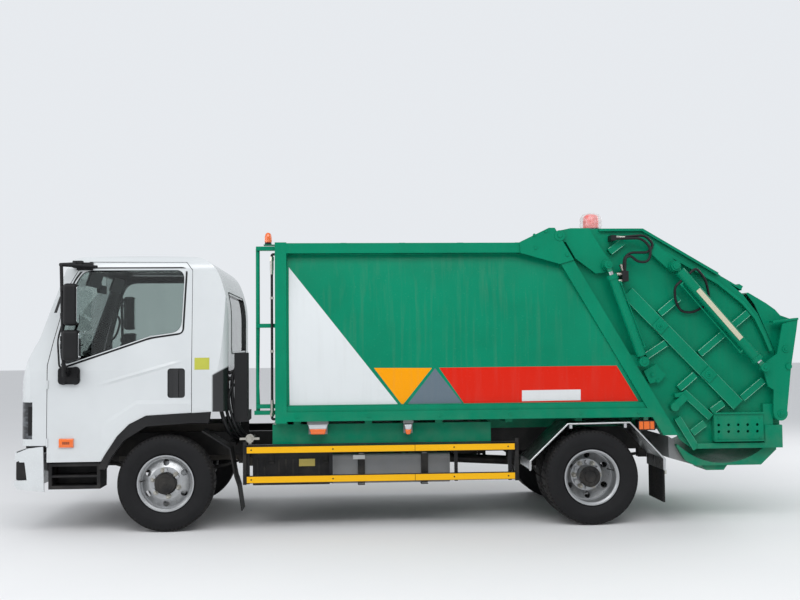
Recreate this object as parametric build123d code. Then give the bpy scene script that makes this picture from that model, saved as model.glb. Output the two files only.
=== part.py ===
from build123d import *
import math
import os

os.makedirs("parts", exist_ok=True)

# Rear-loading refuse truck, in millimetres.
# While it is modelled, X runs forward from the front axle, Y to the left and Z up from the road.
# save() then moves every piece so that the origin lies under the middle of the truck.

# Overall lengths, from the front axle
FRONT_X = 1235.0
REAR_X = -5421.0
WHEELBASE = 3600.0
ORIGIN_X = (FRONT_X + REAR_X) / 2

# Wheels
TYRE_R = 402.5
TYRE_W = 225.0
BEAD_R = 222.0
RIM_R = 236.0
RIM_WALL = 10.0
FRONT_WHEEL_Y = 822.0
REAR_OUTER_Y = 888.0
REAR_INNER_Y = 636.0
STUDS = 6
STUD_CIRCLE_R = 111.0
NUT_R = 15.0
HAND_HOLE_R = 26.0
HAND_HOLE_CIRCLE_R = 172.0
HUB_CAP_R = 86.0
SPINDLE_R = 45.0
RUNNING_FIT = 0.05
AXLE_Z = TYRE_R
REAR_AXLE_X = -WHEELBASE
KINGPIN_Y = 690.0
KINGPIN_R = 20.0
KINGPIN_GAP = 1.0

# Ladder frame
RAIL_REAR_X = -4180.0
RAIL_FRONT_X = 930.0
RAIL_Y = 450.0
RAIL_FLANGE = 65.0
RAIL_WALL = 7.0
RAIL_Z0 = 585.0
RAIL_Z1 = 790.0
SILENCER_X = -1150.0
SILENCER_Y = 690.0
SILENCER_Z = 500.0
SILENCER_R = 120.0
PIPE_R = 35.0
AIR_TANK_X = -2130.0
CROSS_MEMBERS_X = (860.0, -1150.0, -1950.0, -2950.0, -4120.0)
GEARBOX_END = (-1060.0, 560.0)
HANGER_Y0 = RAIL_Y - RAIL_FLANGE
HANGER_Y1 = RAIL_Y
SPRING_Y = RAIL_Y - RAIL_FLANGE / 2
SPRING_W = RAIL_FLANGE - 17
SPRING_SPAN = 600.0
SPRING_EYE_R = 24.0
SPRING_EYE_Z = RAIL_Z0 - 40
SPRING_T = 34.0

# Front bumper, number plate and tow eyes
BUMPER_BACK_X = 1211.0
BUMPER_TOP_Z = 703.0
BUMPER_LIP_Z = 690.0
BUMPER_BAR_Z = 624.0
BUMPER_LOW_Z = 381.0
BUMPER_SIDE_X = 997.0
BUMPER_SKIN = 20.0
BUMPER_INNER_X = FRONT_X - 110 - BUMPER_SKIN
PLATE_HOLE_PITCH = 210.0
PLATE_HOLE_R = 4.0
PLATE_Z = 664.0
TOW_EYE = (FRONT_X - 40, 520.0)
TOW_R = 16.0
TOW_Y = 420.0

# Cab
CAB_HALF_W = 950.0
CAB_WALL = 40.0
CAB_CUT_Y = (CAB_HALF_W - 250, CAB_HALF_W + 150)
CAB_CUT_HALF_W = CAB_HALF_W + 50
CAB_CUT_TOP_Z = 2400.0
CAB_BACK_X = -519.0
CAB_NOSE_X = 1192.0
CAB_LOW_Z = 735.0
CAB_FLOOR_Z = 900.0
CAB_ROOF_Z = 2322.0
DOOR_FRONT_X = 970.0
DOOR_REAR_X = -223.0
DOOR_LOW_Z = 592.0
DOOR_GAP = 6.0
CAB_FORM_LOW_Z = 400.0
CAB_PIVOT = (1140.0, 700.0)
DOOR_HINGE = (964.0, CAB_HALF_W)
DOOR_HINGE_R = 9.0
LAMP_X = 1085.0
LAMP_INNER_Y = CAB_HALF_W - 360
LAMP_Z0 = 790.0
LAMP_Z1 = 1095.0
GRILLE_Z0 = 800.0
GRILLE_Z1 = 980.0
GRILLE_SLOTS = 4
SCREEN_HALF_W = CAB_HALF_W - 150
SPLIT_ROOF_Z = 2238.0
STEP_INNER_Y = CAB_HALF_W - 250
MIRROR_Y = CAB_HALF_W + 150
MIRROR_ROUND = 30.0
MIRROR_HEADS = ((675.0, 785.0, 1726.0, 2070.0), (659.0, 790.0, 1441.0, 1690.0))
MIRROR_CLAMPS_Z = (1540.0, 1800.0, 1960.0)
ARM_TUBE_R = 14.0
DOOR_HINGES_Z = (760.0, 1240.0)
SEAT_X0 = -330.0
SEAT_Z = (1030.0, 1160.0)
SEAT_Y = (280.0, 760.0)
WHEEL_CENTRE = (600.0, 480.0, 1400.0)
WHEEL_AXIS = (-0.5, 0, 0.87)
WHEEL_R = 205.0
DOOR_OUTLINE = [
    (DOOR_FRONT_X, DOOR_LOW_Z), (DOOR_FRONT_X, 1400), (925, 1600), (800, 2080), (710, 2235), (640, 2270),
    (-171, 2264), (DOOR_REAR_X, 2196), (DOOR_REAR_X, 990), (152, 969), (293, 899), (392, 801),
    (476, 674), (528, DOOR_LOW_Z),
]
WINDOW_OUTLINE = [
    (852, 1394), (870, 1610), (750, 2090), (676, 2195), (-154, 2195), (-129, 1674), (128, 1638),
]
ARCH_EDGE = [(528, 579), (476, 674), (392, 801), (293, 899), (152, 969), (-225, 990), (-375, 998)]
ARCH_OUTLINE = [(528, 0)] + [(x, z + 1) for x, z in ARCH_EDGE] + [(-700, 999), (-700, 0)]
SCREEN_OUTLINE = [(1300, 1450), (950, 1450), (650, 2225), (1300, 2225)]
BACK_WINDOW = (CAB_HALF_W - 330, 1500.0, 2000.0)

# Refuse body
BODY_FRONT_X = -922.0
BODY_POST_W = 96.0
BODY_HALF_W = 1030.0
BODY_LOW_Z = 913.0
BODY_RAIL_Z = 1040.0
BODY_ROOF_Z = 2407.0
BODY_TOP_RAIL_Z = BODY_ROOF_Z - 85
BODY_INNER_Y = BODY_HALF_W - 100
GUSSET_T = 14.0
BOSS_R = 45.0
EYE_HALF_W = 22.0
BODY_EDGE_Y = BODY_HALF_W - 90
BODY_SHEET = 16.0
FLOOR_TOP_Z = 950.0
FRONT_WALL_X = BODY_FRONT_X - BODY_POST_W
BEARERS_X = (-1100.0, -1700.0, -2300.0, -2900.0, -3500.0, -4000.0)
ROOF_STIFFENERS_X = (-1500.0, -2000.0, -2500.0, -3000.0)
HOOP_X = -770.0
HOOP_R = 17.0

# What hangs below the body: fuel tank, battery box, side guards, fenders and flaps
TANK_X = (-2399.0, -1387.0)
TANK_Z = (367.0, 620.0)
TANK_Y = (RAIL_Y + 40, BODY_HALF_W - 180)
TANK_STRAPS_X = (-1640.0, -2180.0)
STRAP_HALF_W = 22.0
STRAP_T = 6.0
BATTERY_X = (-1370.0, -720.0)
BATTERY_TOP_Z = 640.0
BATTERY_LID_H = 40.0
BATTERY_BRACKETS_X = (-1220.0, -870.0)
GUARD_X = (-2956.0, -661.0)
GUARD_RAILS_Z = ((649.0, 708.0), (403.0, 463.0))
GUARD_Y = BODY_HALF_W - 30
GUARD_RAIL_T = 38.0
GUARD_POST_HALF_W = 14.0
GUARD_ARMS_X = (-690.0, -2440.0, -2900.0)
GUARD_POSTS_X = GUARD_ARMS_X + (-1383.0,)
FENDER_Y = (560.0, BODY_HALF_W - 10)
FENDER_LINE = [
    (-3061, 481), (-3061, 559), (-3389, 868), (-3925, 874), (-4220, 558), (-4218, 463),
    (-4206, 463), (-4206, 562), (-3920, 862), (-3394, 856), (-3073, 552), (-3073, 481),
]
FENDER_BRACKETS_X = (-3420.0, -3890.0)
MUDGUARD_Y = (690.0, CAB_HALF_W - 20)
MUDGUARD_LINE = [
    (-300, 832), (-529, 685), (-572, 455), (-600, 368), (-630, 167), (-640, 167), (-612, 368),
    (-584, 455), (-541, 692), (-308, 842),
]

# The slanted joint between body and tailgate: its rear face runs through two points
SLANT_TOP = (-3453.0, 2269.0)
SLANT_LOW = (-4308.0, 811.0)
SLANT_POST_W = 110.0
SEAL_GAP = 8.0

# Tailgate
TAILGATE_PIN = (-3340.0, 2465.0)
TAILGATE_PLATE_Y = BODY_HALF_W - 90
TAILGATE_PLATE = 14.0
RIB_Y = BODY_HALF_W - 20
LIFT_PIN_LOW = (-4039.0, 1386.0)
LIFT_PIN_TOP = (-3744.0, 2210.0)
LIFT_Y = BODY_HALF_W + 40
LIFT_BARREL_L = 785.0
LIFT_BARREL_R = 40.0
LIFT_ROD_R = 22.0
BUCKET_CYL_PIN = (-4330.0, 2198.0)
BUCKET_EYE = (-5084.0, 1327.0)
BUCKET_CYL_Y = BODY_HALF_W + 42
BUCKET_BARREL_L = 1070.0
BUCKET_BARREL_R = 45.0
BUCKET_ROD_R = 25.0
BUCKET_PIN = (-5235.0, 928.0)
BUCKET_SHEET_Y = BODY_HALF_W - 100
ARM_Y = BODY_HALF_W - 6
ARM_T = 18.0
ROD_CLEAR = 1.0
PIN_R = 20.0
PIN_GAP = 0.3

# Packer: the carriage slides along the tailgate's diagonal beam
PACKER_LOW = (-4760.0, 1065.0)
PACKER_DIR = (0.697, 0.717)
PACKER_STROKE = 600.0
BLADE_R = 545.0
BLADE_CLOSED = 5.0
TROUGH_R = 562.0
PACKER_HALF_W = TAILGATE_PLATE_Y - 15

# Hopper pan: its front, bottom and rear, seen from the side
PAN_LINE = [(-4352.0, 655.0), (-4428.0, 529.0), (-4516.0, 484.0), (-5092.0, 484.0), (-5231.0, 613.0)]

# Ribs on the tailgate's side plate: start and end of each, and its width
SIDE_RIBS = (
    ((-4207, 1792), (-4381, 1931), 56),
    ((-4551, 1444), (-4989, 1797), 56),
    ((-4913, 1059), (-5108, 1215), 56),
    ((-4086, 1431), (-4259, 1541), 56),
    ((-4364, 1150), (-4509, 1269), 56),
    ((-4644, 951), (-4750, 1024), 56),
    ((-4469, 769), (-4584, 853), 56),
    ((-3782, 2327), (-3907, 2421), 56),
    ((-4400, 1120), (-4636, 900), 58),
    ((-4345, 900), (-4505, 636), 56),
)
DIAGONAL_BEAM = ((-3930, 1976), (-4875, 1005), 110)
BEAM_BOSSES = ((-4205, 1688), (-4620, 1268))
FLANGE_LINE = [(-4165, 2392), (-4729, 2070), (-4949, 1892), (-5059, 1759), (-5134, 1604), (-5187, 1472)]
TOOL_BOX = (-5088.0, -4657.0, 696.0, 930.0)
TOOL_BOX_HOLES_X = (-4696.0, -4782.0, -4867.0, -4950.0, -5034.0)
TOOL_BOX_HOLES_Z = (836.0, 779.0)
TOOL_BOX_HOLE_R = 12.0
CARRIAGE_LUGS_Y = (-600.0, 600.0)
EAR_OFFSETS_Y = (-52.0, 52.0)

# Hoses
HOSE_R = 11.0
HOSE_Y = RIB_Y + 24
BEND_SHARE = 0.45


def block(x0, x1, y0, y1, z0, z1):
    """A box between two corners."""
    size = Box(abs(x1 - x0), abs(y1 - y0), abs(z1 - z0))
    return Pos((x0 + x1) / 2, (y0 + y1) / 2, (z0 + z1) / 2) * size


def side_prism(outline, y0, y1):
    """A prism whose (x, z) outline is seen from the side, from y0 to y1."""
    edge = Polyline(*[(x, y0, z) for x, z in outline], close=True)
    return extrude(make_face(edge), amount=y1 - y0, dir=(0, 1, 0))


def both_sides(shape):
    """The shape and its mirror image on the other side of the truck."""
    return Part() + [shape, mirror(shape, about=Plane.XZ)]


def other_side(shape):
    return mirror(shape, about=Plane.XZ)


def cross_pin(point, r, y0, y1):
    """A round pin along Y through a point (x, z)."""
    x, z = point
    return Pos(x, (y0 + y1) / 2, z) * Rot(X=90) * Cylinder(r, abs(y1 - y0))


def rod_between(start, end, r, y):
    """A round rod between two (x, z) points at one y."""
    dx = end[0] - start[0]
    dz = end[1] - start[1]
    place = Plane(origin=(start[0], y, start[1]), z_dir=(dx, 0, dz))
    low = (Align.CENTER, Align.CENTER, Align.MIN)
    return place * Cylinder(r, math.hypot(dx, dz), align=low)


def bar_between(start, end, width, y0, y1):
    """A flat-sided bar between two (x, z) points, width across them."""
    dx = end[0] - start[0]
    dz = end[1] - start[1]
    length = math.hypot(dx, dz)
    sx = -dz / length * width / 2
    sz = dx / length * width / 2
    outline = [
        (start[0] + sx, start[1] + sz),
        (end[0] + sx, end[1] + sz),
        (end[0] - sx, end[1] - sz),
        (start[0] - sx, start[1] - sz),
    ]
    return side_prism(outline, y0, y1)


def band(points, width, y0, y1):
    """A strip that follows a line of (x, z) points, its width to the left of the line's run."""
    edge = []
    last = len(points) - 1
    for index, (x, z) in enumerate(points):
        from_x, from_z = points[max(index - 1, 0)]
        to_x, to_z = points[min(index + 1, last)]
        run = math.hypot(to_x - from_x, to_z - from_z)
        edge.append((x - (to_z - from_z) / run * width, z + (to_x - from_x) / run * width))
    return side_prism(points + edge[::-1], y0, y1)


def hose(points):
    """A hose through (x, y, z) points: straight runs joined by arcs as wide as the runs allow."""
    radii = []
    for before, corner, after in zip(points, points[1:], points[2:]):
        first = Vector(*corner) - Vector(*before)
        second = Vector(*after) - Vector(*corner)
        half_turn = math.radians(first.get_angle(second)) / 2
        radii.append(BEND_SHARE * min(first.length, second.length) / math.tan(half_turn))
    route = FilletPolyline(*points, radius=radii)
    start = Plane(origin=route @ 0, z_dir=route % 0)
    return sweep(start * Circle(HOSE_R), path=route)


def along(start, end, distance):
    """The point at a distance from start towards end."""
    dx = end[0] - start[0]
    dz = end[1] - start[1]
    share = distance / math.hypot(dx, dz)
    return (start[0] + dx * share, start[1] + dz * share)


def turned(profile, x, z):
    """A solid of revolution about a Y axis through (x, z), from a (y, r) profile."""
    edge = Polyline(*[(0, y, r) for y, r in profile], close=True)
    return Pos(x, 0, z) * revolve(make_face(edge), axis=Axis.Y)


def ring_of(count, radius, x, z, make):
    """Copies of make(x, z) on a circle seen from the side."""
    copies = []
    for index in range(count):
        angle = 2 * math.pi * index / count
        copies.append(make(x + radius * math.sin(angle), z + radius * math.cos(angle)))
    return copies


def save(name, shape):
    """Writes one piece, moved so that the origin is under the truck's middle."""
    export_step(Pos(-ORIGIN_X, 0, 0) * shape, f"parts/{name}.step")


# Wheels

def tyre(x, y):
    """A tyre as a revolved section, with bulged sidewalls."""
    half = TYRE_W / 2
    profile = [
        (y - half * 0.71, BEAD_R + RUNNING_FIT),
        (y - half * 0.71, RIM_R + 4),
        (y - half * 0.93, RIM_R + 26),
        (y - half, BEAD_R + 92),
        (y - half * 0.93, TYRE_R - 22),
        (y - half * 0.80, TYRE_R - 4),
        (y - half * 0.40, TYRE_R),
        (y + half * 0.40, TYRE_R),
        (y + half * 0.80, TYRE_R - 4),
        (y + half * 0.93, TYRE_R - 22),
        (y + half, BEAD_R + 92),
        (y + half * 0.93, RIM_R + 26),
        (y + half * 0.71, RIM_R + 4),
        (y + half * 0.71, BEAD_R + RUNNING_FIT),
    ]
    return turned(profile, x, AXLE_Z)


def rim_barrel(x, y):
    """The rim that a tyre sits on, with a flange at each edge."""
    half = TYRE_W * 0.36
    profile = [
        (y - half - 12, RIM_R),
        (y - half, RIM_R),
        (y - half, BEAD_R),
        (y + half, BEAD_R),
        (y + half, RIM_R),
        (y + half + 12, RIM_R),
        (y + half + 12, RIM_R - RIM_WALL),
        (y + half, BEAD_R - RIM_WALL),
        (y - half, BEAD_R - RIM_WALL),
        (y - half - 12, RIM_R - RIM_WALL),
    ]
    return turned(profile, x, AXLE_Z)


def wheel_disc(x, y, crown):
    """The disc from the stud plane y out to the rim, with hand holes; crown bulges it."""
    profile = [
        (y - 7, SPINDLE_R + RUNNING_FIT),
        (y + 7, SPINDLE_R + RUNNING_FIT),
        (y + 7, STUD_CIRCLE_R + 26),
        (y + 7 + crown, HAND_HOLE_CIRCLE_R + 30),
        (y + 7 + crown, BEAD_R - RIM_WALL / 2),
        (y - 7 + crown, BEAD_R - RIM_WALL / 2),
        (y - 7 + crown, HAND_HOLE_CIRCLE_R + 34),
        (y - 7, STUD_CIRCLE_R + 32),
    ]
    disc = turned(profile, x, AXLE_Z)
    reach = abs(crown) + 60
    holes = ring_of(
        STUDS, HAND_HOLE_CIRCLE_R, x, AXLE_Z,
        lambda hx, hz: cross_pin((hx, hz), HAND_HOLE_R, y - reach, y + reach),
    )
    return disc - holes


def studs(x, y, outward):
    nuts = ring_of(
        STUDS, STUD_CIRCLE_R, x, AXLE_Z,
        lambda nx, nz: cross_pin((nx, nz), NUT_R, y, y + outward * 34),
    )
    return nuts


def front_rim():
    """Steel front wheel: disc bulged outwards, brake drum and hub on its inside."""
    face_y = FRONT_WHEEL_Y + 62
    barrel = rim_barrel(0, FRONT_WHEEL_Y)
    disc = wheel_disc(0, face_y, -34)
    drum_profile = [
        (face_y - 7, SPINDLE_R + RUNNING_FIT),
        (face_y - 7, STUD_CIRCLE_R + 26),
        (face_y - 60, STUD_CIRCLE_R + 26),
        (face_y - 70, BEAD_R - 45),
        (FRONT_WHEEL_Y - 60, BEAD_R - 45),
        (FRONT_WHEEL_Y - 60, BEAD_R - 60),
        (face_y - 90, BEAD_R - 60),
        (face_y - 90, SPINDLE_R + RUNNING_FIT),
    ]
    drum = turned(drum_profile, 0, AXLE_Z)
    cap = cross_pin((0, AXLE_Z), HUB_CAP_R, face_y + 7, face_y + 48)
    return barrel + disc + drum + studs(0, face_y + 7, 1) + cap


def rear_rims():
    """Twin rear wheel: two rims bolted back to back on one hub."""
    plane_y = (REAR_OUTER_Y + REAR_INNER_Y) / 2
    outer = rim_barrel(REAR_AXLE_X, REAR_OUTER_Y)
    inner = rim_barrel(REAR_AXLE_X, REAR_INNER_Y)
    outer_disc = wheel_disc(REAR_AXLE_X, plane_y + 7, 48)
    inner_disc = wheel_disc(REAR_AXLE_X, plane_y - 7, -48)
    hub_profile = [
        (plane_y - 130, SPINDLE_R + RUNNING_FIT),
        (plane_y + 130, SPINDLE_R + RUNNING_FIT),
        (plane_y + 130, HUB_CAP_R),
        (plane_y + 20, HUB_CAP_R),
        (plane_y + 10, STUD_CIRCLE_R + 20),
        (plane_y - 20, STUD_CIRCLE_R + 20),
        (plane_y - 60, BEAD_R - 50),
        (plane_y - 130, BEAD_R - 50),
    ]
    hub = turned(hub_profile, REAR_AXLE_X, AXLE_Z)
    cap = cross_pin((REAR_AXLE_X, AXLE_Z), HUB_CAP_R, plane_y + 130, plane_y + 142)
    nuts = studs(REAR_AXLE_X, plane_y + 14, 1)
    return outer + inner + outer_disc + inner_disc + hub + nuts + cap


def rear_tyres():
    return Part() + [tyre(REAR_AXLE_X, REAR_OUTER_Y), tyre(REAR_AXLE_X, REAR_INNER_Y)]


# Axles, knuckles and springs

def leaf_spring(x, sag_z):
    """A leaf pack whose middle sits at sag_z, rising to an eye at each end."""
    ends = (SPRING_SPAN, SPRING_EYE_Z)
    top = ThreePointArc((x - ends[0], 0, ends[1] + 8), (x, 0, sag_z + SPRING_T), (x + ends[0], 0, ends[1] + 8))
    low = ThreePointArc((x + ends[0], 0, ends[1] - 8), (x, 0, sag_z), (x - ends[0], 0, ends[1] - 8))
    edge = [top, Line(top @ 1, low @ 0), low, Line(low @ 1, top @ 0)]
    face = make_face(edge).moved(Pos(0, SPRING_Y - SPRING_W / 2, 0))
    pack = extrude(face, amount=SPRING_W, dir=(0, 1, 0))
    for end in (x - ends[0], x + ends[0]):
        pack += cross_pin((end, ends[1]), SPRING_EYE_R, SPRING_Y - SPRING_W / 2, SPRING_Y + SPRING_W / 2)
    for end in (x - ends[0], x + ends[0]):
        pack -= cross_pin((end, ends[1]), SPRING_EYE_R / 2, SPRING_Y - SPRING_W, SPRING_Y + SPRING_W)
    return pack


def front_axle():
    """Forged drop beam with a kingpin boss at each end, spring pads and the two leaf springs."""
    beam_low = AXLE_Z - 75
    beam_top = AXLE_Z - 5
    beam = block(-38, 38, -560, 560, beam_low, beam_top)
    web = block(18, 60, -540, 540, beam_low + 16, beam_top - 16)
    beam = beam - web - block(-60, -18, -540, 540, beam_low + 16, beam_top - 16)
    ends = both_sides(
        block(-30, 30, 540, KINGPIN_Y, AXLE_Z - 45, AXLE_Z + 45)
        + Pos(0, KINGPIN_Y, AXLE_Z) * Cylinder(KINGPIN_R + 16, 90)
    )
    pads = both_sides(block(-60, 60, SPRING_Y - SPRING_W / 2, SPRING_Y + SPRING_W / 2, beam_top, AXLE_Z + 20))
    springs = both_sides(leaf_spring(0, AXLE_Z + 18))
    pins = both_sides(Pos(0, KINGPIN_Y, AXLE_Z) * Cylinder(KINGPIN_R, 190))
    return beam + ends + pads + springs + pins


def knuckle():
    """Steering knuckle: a fork round the kingpin boss, its arm and the wheel spindle."""
    gap = KINGPIN_GAP
    fork = block(-34, 34, KINGPIN_Y - 30, KINGPIN_Y + 52, AXLE_Z - 80, AXLE_Z + 80)
    fork -= block(-60, 60, KINGPIN_Y - 60, KINGPIN_Y + 40, AXLE_Z - 45 - gap, AXLE_Z + 45 + gap)
    fork -= Pos(0, KINGPIN_Y, AXLE_Z) * Cylinder(KINGPIN_R + RUNNING_FIT, 400)
    fork -= Pos(0, KINGPIN_Y, AXLE_Z) * Cylinder(KINGPIN_R + 18, 90)
    plate = cross_pin((0, AXLE_Z), 120, KINGPIN_Y + 40, KINGPIN_Y + 52)
    spindle = cross_pin((0, AXLE_Z), SPINDLE_R, KINGPIN_Y + 52, FRONT_WHEEL_Y + 66)
    arm = block(-190, -20, KINGPIN_Y - 28, KINGPIN_Y + 2, AXLE_Z - 78, AXLE_Z - 50)
    return fork + plate + spindle + arm


def rear_axle():
    """Axle tube with the differential, leaf springs, spindles and the propeller shaft."""
    point = (REAR_AXLE_X, AXLE_Z)
    plane_y = (REAR_OUTER_Y + REAR_INNER_Y) / 2
    tube = cross_pin(point, 62, -REAR_INNER_Y + 136, REAR_INNER_Y - 136)
    spindles = cross_pin(point, SPINDLE_R, -plane_y - 127, plane_y + 127)
    bowl = Pos(REAR_AXLE_X, 0, AXLE_Z) * Sphere(165)
    nose = rod_between((REAR_AXLE_X, AXLE_Z), (REAR_AXLE_X + 290, AXLE_Z + 30), 70, 0)
    shaft = rod_between((REAR_AXLE_X + 280, AXLE_Z + 29), GEARBOX_END, 42, 0)
    pads = both_sides(
        block(REAR_AXLE_X - 70, REAR_AXLE_X + 70, SPRING_Y - 35, SPRING_Y + 35, AXLE_Z + 40, AXLE_Z + 84)
    )
    springs = both_sides(leaf_spring(REAR_AXLE_X, AXLE_Z + 82))
    return tube + spindles + bowl + nose + shaft + pads + springs


# Ladder frame and what hangs on it

def spring_hangers(x):
    """Brackets under a rail that hold one spring's eyes on pins."""
    hangers = []
    for end in (x - SPRING_SPAN, x + SPRING_SPAN):
        for y0, y1 in ((HANGER_Y0, HANGER_Y0 + 8), (HANGER_Y1 - 8, HANGER_Y1)):
            hangers.append(block(end - 40, end + 40, y0, y1, SPRING_EYE_Z - 35, RAIL_Z0))
        hangers.append(cross_pin((end, SPRING_EYE_Z), SPRING_EYE_R / 2, HANGER_Y0, HANGER_Y1))
    return hangers


def silencer():
    """The exhaust silencer on the right, with its pipe from the engine and its tail pipe."""
    level = (Align.CENTER, Align.CENTER, Align.MIN)
    can = Pos(SILENCER_X, -SILENCER_Y, SILENCER_Z) * Rot(Y=-90) * Cylinder(SILENCER_R, 620, align=level)
    whole = Part() + fillet(can.edges(), 30)
    for x in (SILENCER_X - 140, SILENCER_X - 480):
        whole += Pos(x, -SILENCER_Y, SILENCER_Z) * Rot(Y=90) * Cylinder(SILENCER_R + 6, 34)
        whole += block(x - 17, x + 17, -RAIL_Y, -SILENCER_Y, 590, SILENCER_Z + SILENCER_R)
    whole += Pos(SILENCER_X - 10, -640, 545) * Rot(Y=90) * Cylinder(PIPE_R, 110, align=level)
    whole += Pos(SILENCER_X + 65, -675, 545) * Rot(X=-90) * Cylinder(PIPE_R, 360, align=level)
    whole += Pos(SILENCER_X - 600, -720, 480) * Rot(Y=-90) * Cylinder(PIPE_R, 260, align=level)
    return whole


def air_tank():
    """The brake air tank on the right, hung from the rail by its straps."""
    level = (Align.CENTER, Align.CENTER, Align.MIN)
    tank = Pos(AIR_TANK_X, -640, 480) * Rot(Y=-90) * Cylinder(115, 700, align=level)
    whole = Part() + fillet(tank.edges(), 40)
    for x in (AIR_TANK_X - 150, AIR_TANK_X - 550):
        whole += Pos(x, -640, 480) * Rot(Y=90) * Cylinder(120, 30)
        whole += block(x - 15, x + 15, -RAIL_Y, -640, 585, 600)
    return whole


def chassis_frame():
    """Two channel rails, cross members, spring hangers and the cab's tilt brackets."""
    rail = block(RAIL_REAR_X, RAIL_FRONT_X, RAIL_Y - RAIL_FLANGE, RAIL_Y, RAIL_Z0, RAIL_Z1)
    rail -= block(
        RAIL_REAR_X, RAIL_FRONT_X, RAIL_Y - RAIL_FLANGE, RAIL_Y - RAIL_WALL,
        RAIL_Z0 + RAIL_WALL, RAIL_Z1 - RAIL_WALL,
    )
    rail += spring_hangers(0) + spring_hangers(REAR_AXLE_X)
    x, z = CAB_PIVOT
    rail += block(RAIL_FRONT_X - 60, x + 30, RAIL_Y - 30, RAIL_Y, RAIL_Z0 + 45, z + 15)
    rail += cross_pin(CAB_PIVOT, 30, RAIL_Y - 30, RAIL_Y)
    rail += cross_pin(CAB_PIVOT, PIN_R, RAIL_Y - 80, RAIL_Y)
    rail += block(RAIL_FRONT_X - 60, BUMPER_INNER_X, RAIL_Y - 30, RAIL_Y, 470, RAIL_Z0 + 15)
    frame = both_sides(rail)
    for cross_x in CROSS_MEMBERS_X:
        frame += block(
            cross_x - 35, cross_x + 35, -RAIL_Y + RAIL_WALL, RAIL_Y - RAIL_WALL,
            RAIL_Z0 + 60, RAIL_Z0 + 150,
        )
    return frame + silencer() + air_tank()


def front_bumper():
    """A bumper shell that wraps round to the steps, with a fog lamp recess each side."""
    outer = [
        (BUMPER_SIDE_X, BUMPER_TOP_Z + 25), (FRONT_X - 75, BUMPER_TOP_Z + 6), (FRONT_X - 50, BUMPER_LIP_Z),
        (FRONT_X - 10, BUMPER_LIP_Z), (FRONT_X - 10, BUMPER_BAR_Z),
        (FRONT_X - 45, 612), (FRONT_X - 110, 455), (FRONT_X - 8, 450), (FRONT_X, 417),
        (FRONT_X - 35, BUMPER_LOW_Z), (987, 356),
    ]
    shell = side_prism(outer, -CAB_HALF_W, CAB_HALF_W)
    room = block(
        0, BUMPER_INNER_X, -CAB_HALF_W + BUMPER_SKIN, CAB_HALF_W - BUMPER_SKIN,
        0, RAIL_Z1,
    )
    front_room = block(
        FRONT_X - 140, BUMPER_BACK_X, -CAB_HALF_W + BUMPER_SKIN, CAB_HALF_W - BUMPER_SKIN,
        BUMPER_BAR_Z - 6, RAIL_Z1,
    )
    tilt_room = side_prism(
        [(1120, 800), (1120, 715), (BUMPER_BACK_X, 677), (BUMPER_BACK_X, 800)], -CAB_HALF_W, CAB_HALF_W)
    shell = shell - room - front_room - tilt_room
    for y in (-PLATE_HOLE_PITCH / 2, PLATE_HOLE_PITCH / 2):
        shell -= Pos(FRONT_X, y, PLATE_Z) * Rot(Y=90) * Cylinder(PLATE_HOLE_R, 100)
    eye = block(FRONT_X - 100, TOW_EYE[0], TOW_Y - 10, TOW_Y + 10, TOW_EYE[1] - 22, TOW_EYE[1] + 22)
    eye += cross_pin(TOW_EYE, TOW_R + 14, TOW_Y - 10, TOW_Y + 10)
    eye -= cross_pin(TOW_EYE, TOW_R, TOW_Y - 30, TOW_Y + 30)
    return shell + both_sides(eye)


def engine_block():
    """The engine and gearbox as one plain mass between the rails."""
    engine = block(-560, 520, -300, 300, RAIL_Z0 - 60, RAIL_Z1 + 60)
    gearbox = rod_between((-560, GEARBOX_END[1]), (GEARBOX_END[0] + 3, GEARBOX_END[1]), 130, 0)
    return engine + gearbox


def fuel_tank():
    """The fuel tank with its two straps and their brackets."""
    inner, outer = TANK_Y
    low, top = TANK_Z
    tank = block(*TANK_X, inner, outer, low, top)
    tank = fillet(tank.edges().filter_by(Axis.X), 40)
    straps = []
    for x in TANK_STRAPS_X:
        x0 = x - STRAP_HALF_W
        x1 = x + STRAP_HALF_W
        strap = block(x0, x1, inner - STRAP_T, outer + STRAP_T, low - STRAP_T, top + STRAP_T)
        straps.append(strap - block(x0, x1, inner, outer, low, top))
        straps.append(block(x0, x1, RAIL_Y, inner, 480, BATTERY_TOP_Z))
    return tank + straps


def battery_box():
    """The battery box with its overhanging lid, on two brackets."""
    inner, outer = TANK_Y
    rear, front = BATTERY_X
    top = BATTERY_TOP_Z
    box = block(rear, front, inner, outer, TANK_Z[0], top)
    lid = block(rear - 11, front + 11, inner, outer + 8, top - BATTERY_LID_H, top)
    brackets = [block(x - 25, x + 25, RAIL_Y, inner, 500, top) for x in BATTERY_BRACKETS_X]
    return box + lid + brackets


def side_guards():
    """Two rails on posts each side, between the axles."""
    inner = GUARD_Y - GUARD_RAIL_T
    half = GUARD_POST_HALF_W
    upper, lower = GUARD_RAILS_Z
    guard = block(*GUARD_X, inner, GUARD_Y, *upper) + block(*GUARD_X, inner, GUARD_Y, *lower)
    for x in GUARD_POSTS_X:
        guard += block(x - half, x + half, inner - 22, inner, lower[0] - 11, upper[1])
    for x in GUARD_ARMS_X:
        guard += block(x - half, x + half, RAIL_Y, inner, 610, 660)
    return both_sides(guard)


def rear_fenders():
    """Angular polished guards over the twin wheels, on brackets from the frame."""
    guard = side_prism(FENDER_LINE, *FENDER_Y)
    for x in FENDER_BRACKETS_X:
        guard += block(x - 12, x + 12, RAIL_Y, FENDER_Y[1] - 20, 822, 859)
    return both_sides(guard)


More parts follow.
